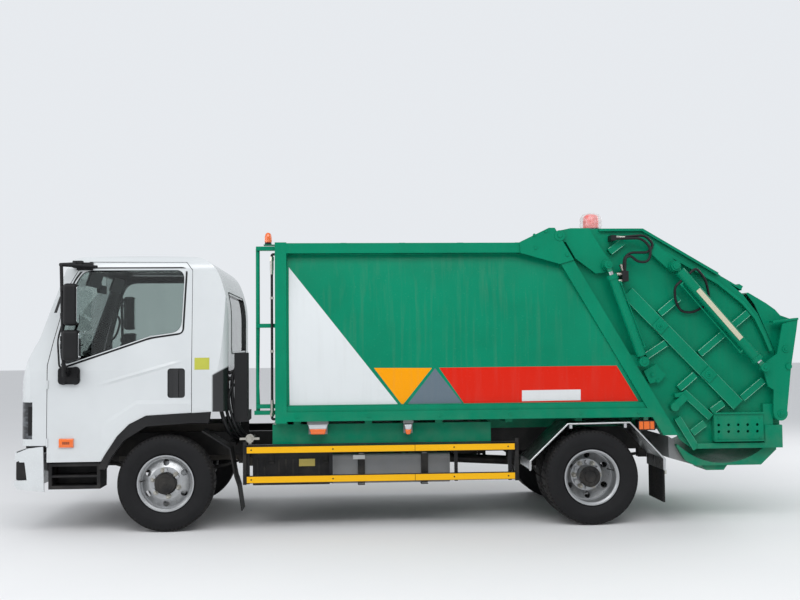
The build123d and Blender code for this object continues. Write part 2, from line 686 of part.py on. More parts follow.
def mudguards():
    """Black guards behind the front wheels and the rubber flaps behind both axles."""
    guard = side_prism(MUDGUARD_LINE, *MUDGUARD_Y)
    guard += block(-560, -500, RAIL_Y, MUDGUARD_Y[0] + 10, 690, 720)
    rear = block(-4220, -4208, FENDER_Y[0] + 40, FENDER_Y[1] - 10, 187, 463 - PIN_GAP)
    return both_sides(guard) + both_sides(rear)


def intake_duct():
    """The air intake that stands behind the cab."""
    duct = block(-670, -560, 650, 800, 983, 1489)
    duct += block(-670, -560, RAIL_Y - 40, 800, 900, 983)
    duct += block(-650, -580, RAIL_Y - 40, RAIL_Y, RAIL_Z1, 900)
    return duct


# Cab

def cab_form(inset):
    """The cab's outer form drawn in by an inset: its side, front and plan outlines together."""
    nose = CAB_NOSE_X - inset
    back = CAB_BACK_X + inset
    roof = CAB_ROOF_Z - inset
    shoulder = (-440 + inset * 0.92, 0, 2160 - inset * 0.39)
    rear_arc = TangentArc((back, 0, 1780), shoulder, tangent=(0, 0, 1))
    side_edges = [
        Line((back, 0, CAB_FORM_LOW_Z + inset), (nose, 0, CAB_FORM_LOW_Z + inset)),
        Line((nose, 0, CAB_FORM_LOW_Z + inset), (nose, 0, 1099)),
        TangentArc((nose, 0, 1099), (1041 - inset, 0, 1606), tangent=(0, 0, 1)),
        Line((1041 - inset, 0, 1606), (815 - inset, 0, 2250)),
        ThreePointArc((815 - inset, 0, 2250), (775 - inset, 0, 2290 - inset), (700 - inset, 0, roof - 10)),
        ThreePointArc((700 - inset, 0, roof - 10), (230, 0, roof), (-238 + inset, 0, roof - 10)),
        TangentArc(shoulder, (-238 + inset, 0, roof - 10), tangent=rear_arc % 1),
        rear_arc,
        Line((back, 0, 1780), (back, 0, CAB_FORM_LOW_Z + inset)),
    ]
    side = extrude(make_face(side_edges), amount=1200, dir=(0, 1, 0), both=True)
    wide = CAB_HALF_W - inset
    front_edges = [
        Line((0, -wide, 300), (0, wide, 300)),
        Line((0, wide, 300), (0, wide, 1350)),
        Line((0, wide, 1350), (0, wide - 60, 2180)),
        ThreePointArc((0, wide - 60, 2180), (0, wide - 95, 2280 - inset), (0, wide - 190, roof + 5)),
        Line((0, wide - 190, roof + 5), (0, -wide + 190, roof + 5)),
        ThreePointArc((0, -wide + 190, roof + 5), (0, -wide + 95, 2280 - inset), (0, -wide + 60, 2180)),
        Line((0, -wide + 60, 2180), (0, -wide, 1350)),
        Line((0, -wide, 1350), (0, -wide, 300)),
    ]
    front = extrude(make_face(front_edges), amount=2000, dir=(1, 0, 0), both=True)
    plan = RectangleRounded(nose - back + 8, 2 * wide + 8, 120)
    plan = extrude(Pos((nose + back) / 2, 0, 0) * plan, amount=3000)
    return side & front & plan


def cab_skin():
    """The hollow cab, before it is split into its panels."""
    return cab_form(0) - cab_form(CAB_WALL)


def shrink(outline, amount):
    """A copy of an outline drawn towards its middle by about an amount."""
    middle_x = sum(x for x, z in outline) / len(outline)
    middle_z = sum(z for x, z in outline) / len(outline)
    drawn = []
    for x, z in outline:
        reach = math.hypot(x - middle_x, z - middle_z)
        share = 1 - amount / reach
        drawn.append((middle_x + (x - middle_x) * share, middle_z + (z - middle_z) * share))
    return drawn


SKIN = cab_skin()
DOOR_CUT = side_prism(DOOR_OUTLINE, *CAB_CUT_Y)
ARCH_CUT = side_prism(ARCH_OUTLINE, -CAB_CUT_Y[1], CAB_CUT_Y[1])
WINDOW_CUT = side_prism(WINDOW_OUTLINE, *CAB_CUT_Y)


def door_hinges(extra):
    """The two hinge knuckles on a door's front edge, or the room for them."""
    x, y = DOOR_HINGE
    return [
        Pos(x, y, z) * Cylinder(DOOR_HINGE_R + extra, 70 + 2 * extra) for z in DOOR_HINGES_Z
    ]


def door():
    """A door with a sunk pull handle, its hinge knuckles and a marker lamp near its front."""
    door_form = side_prism(shrink(DOOR_OUTLINE, DOOR_GAP), *CAB_CUT_Y)
    whole = (SKIN & door_form) - WINDOW_CUT
    side = CAB_HALF_W
    pocket = block(-166, -21, side - 22, side + 50, 1118, 1365)
    whole -= fillet(pocket.edges().filter_by(Axis.Y), 26)
    pull = block(-110, -70, side - 22, side - 3, 1118, 1365)
    pull -= block(-110, -70, side - 22, side - 12, 1160, 1325)
    marker = block(746, 866, side - 5, side + 14, 718, 792)
    marker = fillet(marker.edges().filter_by(Axis.Y), 12)
    return whole + pull + marker + door_hinges(0)


def door_glass():
    """A pane in the middle of the door's skin."""
    pane = cab_form(CAB_WALL / 2) - cab_form(CAB_WALL / 2 + 6)
    return pane & side_prism(shrink(WINDOW_OUTLINE, PIN_GAP), *CAB_CUT_Y)


def lamp_room():
    return block(LAMP_X, 1300, LAMP_INNER_Y, CAB_HALF_W + 50, LAMP_Z0, LAMP_Z1)


def grille_room():
    return block(LAMP_X, 1300, -LAMP_INNER_Y + 30, LAMP_INNER_Y - 30, GRILLE_Z0, GRILLE_Z1)


def grille():
    """The black air grille between the lamps, with level slots."""
    panel = (cab_form(0) - cab_form(CAB_WALL)) & grille_room()
    pitch = (GRILLE_Z1 - GRILLE_Z0) / (GRILLE_SLOTS + 1)
    for index in range(GRILLE_SLOTS):
        z = GRILLE_Z0 + pitch * (index + 1)
        panel -= block(LAMP_X, 1300, -LAMP_INNER_Y + 60, LAMP_INNER_Y - 60, z - pitch / 4, z + pitch / 4)
    return panel


def cab_panels():
    """Roof, back wall, side pillars and front, cut from the one skin where the panels meet."""
    wide = CAB_CUT_HALF_W
    whole = SKIN - both_sides(DOOR_CUT) - ARCH_CUT - block(-800, 1300, -wide, wide, 0, CAB_LOW_Z)
    whole -= side_prism(SCREEN_OUTLINE, -SCREEN_HALF_W, SCREEN_HALF_W)
    half, low, high = BACK_WINDOW
    whole -= block(-700, -440, -half, half, low, high)
    whole -= both_sides(lamp_room())
    whole -= grille_room()
    whole -= both_sides(Part() + door_hinges(PIN_GAP))
    whole -= both_sides(block(-421, -387, CAB_HALF_W - 12, CAB_HALF_W + 50, 1571, 1898))
    roof = whole & block(-800, 1300, -wide, wide, SPLIT_ROOF_Z, CAB_CUT_TOP_Z)
    lower = whole - block(-800, 1300, -wide, wide, SPLIT_ROOF_Z, CAB_CUT_TOP_Z)
    back = lower & block(-800, 0, -wide, wide, 0, CAB_CUT_TOP_Z)
    front = lower & block(0, 1300, -wide, wide, 0, CAB_CUT_TOP_Z)
    return roof, back, front


def cab_glass():
    """Windscreen and back window, each in the middle of its panel."""
    pane = cab_form(CAB_WALL / 2) - cab_form(CAB_WALL / 2 + 6)
    screen = pane & side_prism(SCREEN_OUTLINE, -SCREEN_HALF_W, SCREEN_HALF_W)
    half, low, high = BACK_WINDOW
    back = pane & block(-700, -440, -half, half, low, high)
    return Part() + [screen, back]


def cab_floor():
    """Floor with the engine tunnel and the arms that reach the tilt pins."""
    inside = cab_form(CAB_WALL)
    wide = CAB_CUT_HALF_W
    step_x = DOOR_OUTLINE[-1][0]
    seat_z = SEAT_Z[0]
    floor = block(step_x, 1300, -wide, wide, CAB_FLOOR_Z, CAB_FLOOR_Z + 30)
    floor += block(-600, step_x, -wide, wide, seat_z - 30, seat_z)
    floor += block(step_x - 30, step_x, -wide, wide, CAB_FLOOR_Z, seat_z)
    well = block(535, 1000, STEP_INNER_Y - 14, STEP_INNER_Y, 420, CAB_FLOOR_Z)
    x, z = CAB_PIVOT
    arm = block(x - 25, x + 10, RAIL_Y - 78, RAIL_Y - 34, z, CAB_FLOOR_Z)
    arm += cross_pin(CAB_PIVOT, 30, RAIL_Y - 78, RAIL_Y - 34)
    arm -= cross_pin(CAB_PIVOT, PIN_R + RUNNING_FIT, RAIL_Y - 100, RAIL_Y)
    return (floor & inside) + both_sides(arm + well)


def headlamps():
    """Lamp clusters that take the place of the cab's skin at its front corners."""
    return both_sides((cab_form(0) - cab_form(CAB_WALL)) & lamp_room())


def cab_steps():
    """The black step below each door and the flare round the wheel arch."""
    step_y = CAB_HALF_W - 20
    step = block(533, 957, STEP_INNER_Y, step_y, 372, DOOR_LOW_Z - DOOR_GAP)
    step -= block(560, 930, STEP_INNER_Y + 60, step_y + 70, 400, 560)
    step += block(560, 930, STEP_INNER_Y + 60, step_y, 470, 486)
    outline = ARCH_EDGE + [
        (-362, 905), (-219, 907), (150, 884), (333, 772), (432, 646), (488, 534), (540, 534), (540, 579),
    ]
    flare = side_prism(outline, CAB_HALF_W - 70, CAB_HALF_W + 12)
    return both_sides(step + flare)


def seats():
    """Driver's and passenger's seats with tall rests, and a lower seat between them."""
    inner, outer = SEAT_Y
    low, top = SEAT_Z
    seat = block(SEAT_X0, 120, inner, outer, low, top)
    rest = side_prism([(SEAT_X0, top), (-250, top), (-380, 1800), (-440, 1800)], inner + 20, outer - 20)
    middle = block(SEAT_X0, 120, -180, 200, low, top - 10)
    middle += side_prism([(SEAT_X0, top - 10), (-260, top - 10), (-380, 1600), (-430, 1600)], -170, 190)
    return both_sides(seat + rest) + middle


def dashboard():
    """The dashboard with the steering wheel on its column."""
    inside = CAB_HALF_W - CAB_WALL - 12
    dash = side_prism(
        [(1080, 930), (1080, 1330), (980, 1440), (760, 1430), (700, 1320), (720, 1180), (900, 930)],
        -inside + 60, inside - 60)
    wheel_plane = Plane(origin=WHEEL_CENTRE, z_dir=WHEEL_AXIS)
    wheel = wheel_plane * Torus(WHEEL_R, 15)
    column = wheel_plane * Cylinder(25, 330, align=(Align.CENTER, Align.CENTER, Align.MAX))
    spoke = wheel_plane * Box(2 * WHEEL_R - 10, 40, 16)
    return dash + wheel + column + spoke


def mirror_arm():
    """Two mirrors on one bent tube, on a base at the front of the door."""
    base = block(697, 873, CAB_HALF_W, CAB_HALF_W + 25, 1241, 1383)
    base = fillet(base.edges().filter_by(Axis.Y), MIRROR_ROUND)
    lowest = (Align.CENTER, Align.CENTER, Align.MIN)
    arm_low = Plane(origin=(790, CAB_HALF_W + 12, 1320), z_dir=(0, 1, 0)) * Cylinder(
        ARM_TUBE_R, MIRROR_Y - CAB_HALF_W - 12, align=lowest)
    upright = rod_between((790, 1306), (815, 2219), ARM_TUBE_R, MIRROR_Y)
    arm_top = Plane(origin=(815, MIRROR_Y + 12, 2225), z_dir=(-0.70, -0.715, 0)) * Cylinder(
        ARM_TUBE_R, 340, align=lowest)
    arm_top -= cab_form(0)
    heads = []
    for x0, x1, z0, z1 in MIRROR_HEADS:
        head = block(x0, x1, MIRROR_Y - 40, MIRROR_Y + 80, z0, z1)
        heads.append(fillet(head.edges(), MIRROR_ROUND))
    clamps = [block(770, 812, MIRROR_Y - 10, MIRROR_Y + 10, z, z + 30) for z in MIRROR_CLAMPS_Z]
    return base + arm_low + upright + arm_top + heads + clamps


# Refuse body

def slant(distance):
    """The joint line to the tailgate, moved forward by a distance, from above the roof to below."""
    dx = SLANT_TOP[0] - SLANT_LOW[0]
    dz = SLANT_TOP[1] - SLANT_LOW[1]
    length = math.hypot(dx, dz)
    ux = dx / length
    uz = dz / length
    shift_x = uz * distance
    shift_z = -ux * distance
    top = (SLANT_TOP[0] + ux * 700 + shift_x, SLANT_TOP[1] + uz * 700 + shift_z)
    low = (SLANT_LOW[0] - ux * 600 + shift_x, SLANT_LOW[1] - uz * 600 + shift_z)
    return top, low


def behind_slant(distance):
    """Everything behind the joint line, moved forward by a distance."""
    top, low = slant(distance)
    return side_prism([top, low, (-6500, low[1]), (-6500, top[1])], -1300, 1300)


def ahead_of_slant(gap):
    """Everything in front of the joint line, from a gap behind it."""
    top, low = slant(-gap)
    return side_prism([top, low, (0, low[1]), (0, top[1])], -1300, 1300)


BODY_BACK = behind_slant(SLANT_POST_W)


def body_floor():
    """Floor plate on cross bearers and two long members, with the oil tank below it."""
    edge = BODY_EDGE_Y
    floor = block(FRONT_WALL_X, -4400, -edge, edge, FLOOR_TOP_Z - 14, FLOOR_TOP_Z) - BODY_BACK
    low_rail = side_prism(
        [(FRONT_WALL_X, BODY_LOW_Z), (FRONT_WALL_X, BODY_RAIL_Z), (-4400, BODY_RAIL_Z), (-4400, BODY_LOW_Z)],
        edge, BODY_HALF_W,
    )
    low_rail -= side_prism(
        [(0, 991), (0, 2000), (-5000, 2000), (-5000, 991)], BODY_HALF_W - 14, BODY_HALF_W + 70)
    low_rail = low_rail - BODY_BACK
    bearers = []
    for x in BEARERS_X:
        bearers.append(block(x - 30, x + 30, -edge, edge, 880, FLOOR_TOP_Z - 14))
    members = both_sides(block(-1000, -4100, RAIL_Y - 60, RAIL_Y, RAIL_Z1, 880))
    tank = block(-2748, -891, FENDER_Y[0], BODY_HALF_W - 130, 677, 880)
    return floor + both_sides(low_rail) + bearers + members + tank


def body_side():
    """One curved side sheet between the bottom rail and the top rail."""
    low = BODY_RAIL_Z
    top = BODY_TOP_RAIL_Z
    middle = (low + top) / 2 - 80
    foot, belly, brow = BODY_HALF_W - 42, BODY_HALF_W - 18, BODY_HALF_W - 78
    outer = ThreePointArc((0, foot, low), (0, belly, middle), (0, brow, top))
    inner = ThreePointArc(
        (0, brow - BODY_SHEET, top), (0, belly - BODY_SHEET, middle), (0, foot - BODY_SHEET, low))
    face = make_face([outer, Line(outer @ 1, inner @ 0), inner, Line(inner @ 1, outer @ 0)])
    sheet = extrude(face.moved(Pos(FRONT_WALL_X, 0, 0)), amount=3400, dir=(-1, 0, 0))
    return sheet - BODY_BACK


def body_roof():
    """Roof sheet with the box rails along its edges and a few stiffeners across."""
    sheet = block(FRONT_WALL_X, -3600, -BODY_INNER_Y, BODY_INNER_Y, BODY_ROOF_Z - 22, BODY_ROOF_Z - 6)
    rail = block(FRONT_WALL_X, -3600, BODY_INNER_Y, BODY_HALF_W, BODY_TOP_RAIL_Z, BODY_ROOF_Z)
    whole = sheet + both_sides(rail)
    for x in ROOF_STIFFENERS_X:
        whole += block(x - 25, x + 25, -BODY_INNER_Y, BODY_INNER_Y, BODY_ROOF_Z - 6, BODY_ROOF_Z + 12)
    return whole - BODY_BACK


def body_front():
    """Front wall with its two corner posts and the pipe hoop on the left post."""
    inner = BODY_INNER_Y
    wall = block(
        FRONT_WALL_X + 40, FRONT_WALL_X + 56, -BODY_EDGE_Y, BODY_EDGE_Y, BODY_LOW_Z, BODY_TOP_RAIL_Z + 10)
    post = block(FRONT_WALL_X, BODY_FRONT_X, inner, BODY_HALF_W, 899, BODY_ROOF_Z + 7)
    head = block(FRONT_WALL_X, BODY_FRONT_X, -inner, inner, BODY_TOP_RAIL_Z, BODY_ROOF_Z)
    sill = block(FRONT_WALL_X, BODY_FRONT_X, -inner, inner, BODY_LOW_Z - 33, BODY_RAIL_Z)
    hoop_y = inner - 30
    hoop = rod_between((HOOP_X, 1000), (HOOP_X, BODY_TOP_RAIL_Z + 49), HOOP_R, hoop_y)
    ties = []
    for z in (1020.0, 1700.0, BODY_TOP_RAIL_Z + 33):
        ties.append(block(BODY_FRONT_X - 13, HOOP_X + 13, hoop_y - HOOP_R, inner + 5, z, z + 34))
    ties.append(block(BODY_FRONT_X - 20, -820, hoop_y - 54, hoop_y + 14, BODY_ROOF_Z - 7, BODY_ROOF_Z + 1))
    foot = block(BODY_FRONT_X - 13, -741, hoop_y - 30, inner + 5, 966, 1000)
    return wall + both_sides(post) + head + sill + hoop + ties + foot


def body_rear_frame():
    """Slanted end posts, top and bottom cross beams, hinge gussets and lift cylinder lugs."""
    inner = BODY_INNER_Y
    outer = BODY_HALF_W
    top, low = slant(0)
    front_top, front_low = slant(SLANT_POST_W)
    post = side_prism([top, low, front_low, front_top], inner, outer)
    post &= block(-4400, -3000, inner - 30, outer + 70, 756, BODY_ROOF_Z - 7)
    gusset = side_prism(
        [(-2995, BODY_ROOF_Z + 3), (-3249, 2532), (-3420, 2532), (-3500, BODY_ROOF_Z - 138),
         (-3339, BODY_ROOF_Z - 185), (-3001, BODY_ROOF_Z - 89)],
        outer, outer + GUSSET_T,
    )
    gusset -= behind_slant(0)
    gusset += cross_pin(TAILGATE_PIN, BOSS_R, outer, outer + GUSSET_T)
    gusset += cross_pin(TAILGATE_PIN, PIN_R, TAILGATE_PLATE_Y + 15, outer)
    lug = bar_between((-3930, 1400), LIFT_PIN_LOW, 2 * BOSS_R, outer - 20, outer - 6)
    lug += cross_pin(LIFT_PIN_LOW, BOSS_R, outer - 20, outer - 6)
    lug += cross_pin(LIFT_PIN_LOW, 30, outer - 6, LIFT_Y - EYE_HALF_W - PIN_GAP)
    lug += cross_pin(LIFT_PIN_LOW, PIN_R, LIFT_Y - EYE_HALF_W - PIN_GAP, LIFT_Y + 28)
    whole = both_sides(post + gusset + lug)
    beam = side_prism([top, low, front_low, front_top], -inner, inner)
    head = beam & block(-4400, -3000, -inner, inner, BODY_TOP_RAIL_Z - 32, BODY_ROOF_Z - 7)
    foot = beam & block(-4400, -3000, -inner, inner, FLOOR_TOP_Z - 100, FLOOR_TOP_Z)
    return whole + head + foot


def ejector():
    """The ejector: a slanted push plate on two rib shoes that slide on the floor."""
    half = BODY_HALF_W - 115
    plate = side_prism([(-1130, 2310), (-1930, 965), (-1890, 965), (-1090, 2310)], -half, half)
    low = FLOOR_TOP_Z + PIN_GAP
    ribs = side_prism([(-1110, 2290), (-1900, 965), (-1900, low), (-1250, low)], 380, 400)
    return plate + both_sides(ribs)


def body_hose():
    """The upright hose on the body's left front post, bent back into the post at both ends."""
    x = BODY_FRONT_X + 30
    y = BODY_HALF_W - 80
    return hose([(BODY_FRONT_X, y, 930), (x, y, 930), (x, y, 2320), (BODY_FRONT_X, y, 2320)])


# Tailgate

def tool_box(inner, outer):
    """The small sheet-metal box low on the side plate, with two rows of holes and a hood."""
    x0, x1, z0, z1 = TOOL_BOX
    box = block(x0, x1, inner, outer, z0, z1) - block(x0 + 6, x1 - 6, inner, outer - 6, z0 + 6, z1 - 6)
    hood = block(x0, x1, inner, outer + 16, z1, z1 + 12)
    lip = block(x0, x1, outer, outer + 16, z0, z0 + 10)
    for x in TOOL_BOX_HOLES_X:
        for z in TOOL_BOX_HOLES_Z:
            box -= cross_pin((x, z), TOOL_BOX_HOLE_R, outer - 20, outer + 20)
    return box + hood + lip


def latch_plates(inner):
    """The locking plate and the hooked clamp that hold the tailgate shut."""
    plate = side_prism(
        [(-4060, 1302), (-4168, 1361), (-4251, 1270), (-4212, 1217), (-4112, 1195)], inner, RIB_Y - 12)
    for hole in ((-4133, 1271), (-4180, 1216)):
        plate -= cross_pin(hole, 13, inner, RIB_Y)
    clamp = bar_between((-4325, 1000), (-4415, 1085), 64, inner, RIB_Y + 8)
    clamp += cross_pin((-4320, 995), 36, inner, RIB_Y + 14)
    clamp += bar_between((-4325, 1090), (-4400, 1105), 34, inner, RIB_Y)
    return [plate, clamp]


def tailgate_side():
    """A side plate with its flange, ribs, diagonal beam, latches, boxes, hinge plate and cylinder bosses."""
    outline = [
        (-3430, 2531), (-4081, 2531), (-4740, 2145), (-4960, 1960), (-5090, 1790), (-5165, 1620),
        (-5225, 1472), (-5258, 1010), (-5258, 636), (-4480, 636), (-4250, 800), (-3350, 2330),
    ]
    plate = side_prism(outline, TAILGATE_PLATE_Y, TAILGATE_PLATE_Y + TAILGATE_PLATE)
    plate -= ahead_of_slant(SEAL_GAP)
    outer = TAILGATE_PLATE_Y + TAILGATE_PLATE
    beam = bar_between(*DIAGONAL_BEAM, outer, RIB_Y)
    flange = band(FLANGE_LINE, 26, outer, RIB_Y)
    edge = band([(-3700, 2531), (-4081, 2531), (-4740, 2145)], 22, outer, RIB_Y - 24)
    ribs = [bar_between(start, end, width, outer, RIB_Y - 8) for start, end, width in SIDE_RIBS]
    bosses = [cross_pin(point, BOSS_R, RIB_Y, RIB_Y + 10) for point in BEAM_BOSSES]
    foot = block(-4510, -5258, outer, RIB_Y, 636, 680)
    rear_post = block(-5097, -5180, outer, RIB_Y - 8, 680, 1010)
    lamp_box = block(-5106, -5258, outer, RIB_Y, 680, 830)
    hinge = side_prism(
        [(-3330, 2424), (-3330, 2508), (-3440, 2531), (-3600, 2531), (-3717, 2338), (-3800, 2230),
         (-3744, 2150), (-3653, 2142), (-3480, 2272), (-3400, 2412)], outer, RIB_Y + 6)
    hinge += cross_pin(TAILGATE_PIN, BOSS_R, outer, RIB_Y + 6)
    hinge += cross_pin(LIFT_PIN_TOP, BOSS_R, outer, LIFT_Y - EYE_HALF_W - 2.3)
    hinge -= cross_pin(TAILGATE_PIN, PIN_R + RUNNING_FIT, 0, RIB_Y + 10)
    mount = bar_between((-4150, 2362), (-4345, 2185), 94, outer, RIB_Y + 10)
    mount += cross_pin(BUCKET_CYL_PIN, 48, outer, BUCKET_CYL_Y - EYE_HALF_W - PIN_GAP)
    mount += cross_pin(BUCKET_CYL_PIN, PIN_R, BUCKET_CYL_Y - EYE_HALF_W - PIN_GAP, BUCKET_CYL_Y + 28)
    pivot = cross_pin(BUCKET_PIN, 60, outer, ARM_Y - 2)
    pivot += cross_pin(BUCKET_PIN, PIN_R, ARM_Y - 2, ARM_Y + ARM_T + 6)
    whole = plate + beam + flange + edge + ribs + bosses + foot + rear_post + lamp_box + hinge + mount + pivot
    return whole + tool_box(outer, RIB_Y + 10) + latch_plates(outer)


def tailgate_roof():
    """The roof sheet that slopes down to the hopper's mouth."""
    outline = [
        (-3430, 2527), (-4081, 2527), (-4960, 2012), (-4960, 1994), (-4076, 2511), (-3446, 2511),
        (-3500, 2385), (-3480, 2385),
    ]
    sheet = side_prism(outline, -TAILGATE_PLATE_Y, TAILGATE_PLATE_Y) - ahead_of_slant(SEAL_GAP)
    lip = bar_between((-4930, 2037), (-4965, 2016), 30, -TAILGATE_PLATE_Y, TAILGATE_PLATE_Y)
    return sheet + lip


def hopper_trough():
    """The hopper's floor: a trough for the blade in a boxed pan, its rear sill and drain box."""
    x, z = PACKER_LOW
    front = math.radians(45)
    rear = math.radians(52)
    front_lip = (x + TROUGH_R * math.sin(front), z - TROUGH_R * math.cos(front))
    rear_lip = (x - TROUGH_R * math.sin(rear), z - TROUGH_R * math.cos(rear))
    outline = [front_lip] + PAN_LINE + [(-5231, 900), (rear_lip[0], 900), rear_lip]
    pan = side_prism(outline, -TAILGATE_PLATE_Y, TAILGATE_PLATE_Y)
    pan -= cross_pin(PACKER_LOW, TROUGH_R, -TAILGATE_PLATE_Y, TAILGATE_PLATE_Y)
    drain = side_prism([(-4573, 484), (-4620, 440), (-4774, 440), (-4808, 484)], 620, TAILGATE_PLATE_Y - 30)
    return pan + drain


def leachate_box():
    """The grey box that catches liquid under the joint between body and hopper."""
    outline = [(-4296, 735), (-4354, 700)] + PAN_LINE[:2] + [(-4505, 489.6), (-4300, 549)]
    return side_prism(outline, -TAILGATE_PLATE_Y + 50, TAILGATE_PLATE_Y - 50)


def packer_up():
    """The blade's hinge line with the carriage at the top of its slide."""
    x, z = PACKER_LOW
    return (x + PACKER_DIR[0] * PACKER_STROKE, z + PACKER_DIR[1] * PACKER_STROKE)


def packer_carriage():
    """The plate that slides down along the tailgate's beams, with the lugs that carry the blade."""
    hinge = packer_up()
    top = (hinge[0] + PACKER_DIR[0] * 450, hinge[1] + PACKER_DIR[1] * 450)
    near = (hinge[0] + PACKER_DIR[0] * 45, hinge[1] + PACKER_DIR[1] * 45)
    plate = bar_between(near, top, 90, -PACKER_HALF_W, PACKER_HALF_W)
    lugs = []
    for y in CARRIAGE_LUGS_Y:
        lug = bar_between(hinge, near, 70, y - 30, y + 30) + cross_pin(hinge, 35, y - 30, y + 30)
        lugs.append(lug - cross_pin(hinge, PIN_R + RUNNING_FIT, y - 40, y + 40))
    runner = bar_between(near, top, 50, PACKER_HALF_W, TAILGATE_PLATE_Y - PIN_GAP)
    return plate + lugs + both_sides(runner)


def packer_blade():
    """The blade that sweeps the trough, shown closed."""
    hinge = packer_up()
    angle = math.radians(BLADE_CLOSED)
    tip = (hinge[0] + BLADE_R * math.sin(angle), hinge[1] - BLADE_R * math.cos(angle))
    start = along(hinge, tip, 60)
    blade = bar_between(start, tip, 40, -PACKER_HALF_W, PACKER_HALF_W)
    ears = []
    for y in CARRIAGE_LUGS_Y:
        for offset in EAR_OFFSETS_Y:
            ear = bar_between(hinge, start, 60, y + offset - 20, y + offset + 20)
            ears.append(ear + cross_pin(hinge, 34, y + offset - 20, y + offset + 20))
        ears.append(cross_pin(hinge, PIN_R, y - 60, y + 60))
    return blade + ears


def cylinder_barrel(base, eye, length, r, rod_r, y):
    """A cylinder's barrel from the eye at its base, bored for its rod, with its port block."""
    head = along(base, eye, length)
    start = along(base, eye, 55)
    barrel = rod_between(start, head, r, y) + rod_between(along(base, eye, 25), start, 20, y)
    collar = rod_between(along(base, eye, length - 40), head, r + 6, y)
    barrel += collar + cross_pin(base, 42, y - EYE_HALF_W, y + EYE_HALF_W)
    barrel -= cross_pin(base, PIN_R + RUNNING_FIT, y - 50, y + 50)
    return barrel - rod_between(along(base, eye, 70), along(base, eye, length + 50), rod_r + ROD_CLEAR, y)


def cylinder_rod(base, eye, r, y):
    """A piston rod from inside its barrel out to its eye."""
    rod = rod_between(along(base, eye, 80), along(eye, base, 27), r, y)
    tip = cross_pin(eye, 36, y - EYE_HALF_W - 2, y + EYE_HALF_W + 2)
    return rod + tip - cross_pin(eye, PIN_R, y - 50, y + 50)


def lift_barrel():
    return cylinder_barrel(LIFT_PIN_LOW, LIFT_PIN_TOP, LIFT_BARREL_L, LIFT_BARREL_R, LIFT_ROD_R, LIFT_Y)


def bucket_barrel():
    return cylinder_barrel(
        BUCKET_CYL_PIN, BUCKET_EYE, BUCKET_BARREL_L, BUCKET_BARREL_R, BUCKET_ROD_R, BUCKET_CYL_Y)


def bucket():
    """The loading bucket, folded up behind the hopper, with its arms and levers."""
    outer = [
        (-5290, 960), (REAR_X, 1712), (REAR_X + 17, 1738), (-5301, 1774), (-5257, 1824), (-5179, 1880),
        (-5020, 1975),
    ]
    inner = [
        (-5008, 1962), (-5170, 1866), (-5245, 1812), (-5290, 1762), (-5385, 1720), (-5404, 1705), (-5274, 960),
    ]
    edge = BUCKET_SHEET_Y
    sheet = side_prism(outer + inner, -edge, edge)
    cheek = side_prism(
        outer + [(-5008, 1962), (-5075, 1870), (-5110, 1790), (-5180, 1620), (-5240, 1472), (-5274, 960)],
        edge - 14, edge,
    )
    arm = side_prism(
        [(-5269, 1697), (REAR_X + 15, 1741), (REAR_X + 30, 1643), (-5336, 1332), (-5289, 938), (-5272, 890),
         (-5200, 890), (-5170, 938), (-5185, 1300)],
        ARM_Y, ARM_Y + ARM_T)
    arm += cross_pin(BUCKET_PIN, 60, ARM_Y, ARM_Y + ARM_T)
    arm += cross_pin((-5312, 1332), 26, ARM_Y + ARM_T, ARM_Y + ARM_T + 14)
    arm -= cross_pin(BUCKET_PIN, PIN_R + RUNNING_FIT, ARM_Y - 30, ARM_Y + 80)
    cap = bar_between((-5182, 1716), (REAR_X + 15, 1741), 16, ARM_Y - 50, ARM_Y + ARM_T + 10)
    lever = side_prism(
        [(-5070, 1342), (-5200, 1432), (-5307, 1504), (-5243, 1096), (-5130, 1160), (-5095, 1290)],
        ARM_Y, ARM_Y + ARM_T)
    link = block(-5391, -5360, edge - 14, ARM_Y + 6, 1640, 1700)
    return sheet + both_sides(cheek + arm + cap + lever + link)


def tailgate_hoses():
    """Two hoses that loop from the tailgate's top edge to the valve beside the lift cylinder."""
    y = HOSE_Y
    first = hose([
        (-3824, y, 2448), (-4085, y, 2468), (-4158, y, 2385), (-4110, y, 2318), (-3950, y, 2318),
        (-3895, y, 2270), (-3895, y, 2160)])
    y += 20
    second = hose([
        (-3824, y, 2436), (-4050, y, 2440), (-4130, y, 2350), (-4105, y, 2235), (-4010, y, 2235),
        (-3950, y, 2290), (-3902, y, 2275), (-3897, y, 2160)])
    plate = TAILGATE_PLATE_Y + TAILGATE_PLATE
    valve = block(-3925, -3872, plate, y + 10, 2070, 2160)
    clip = block(-3824, -3780, plate, y + 12, 2420, 2466)
    return first + second + valve + clip


def bucket_port(distance, side):
    """A point on a bucket cylinder's barrel, (x, z), at a distance from its base; side is 1 or -1."""
    run_x = BUCKET_EYE[0] - BUCKET_CYL_PIN[0]
    run_z = BUCKET_EYE[1] - BUCKET_CYL_PIN[1]
    length = math.hypot(run_x, run_z)
    off = side * (BUCKET_BARREL_R + PIN_GAP)
    x, z = along(BUCKET_CYL_PIN, BUCKET_EYE, distance)
    return (x - run_z / length * off, z + run_x / length * off)


def bucket_hoses():
    """The two hoses of a bucket cylinder, from its ports round behind the barrel."""
    y = BUCKET_CYL_Y
    low_x, low_z = bucket_port(128, 1)
    top_x, top_z = bucket_port(128, -1)
    back = y - 86
    near = hose([
        (low_x, y, low_z), (low_x + 60, y, low_z - 52), (-4335, y - 40, 1900), (-4400, back, 1810),
        (-4500, back, 1800), (-4600, back, 1850)])
    far = hose([
        (top_x, y, top_z), (top_x - 60, y, top_z + 52), (-4600, y - 30, 2090), (-4650, back, 1950),
        (-4640, back, 1860)])
    return near + far


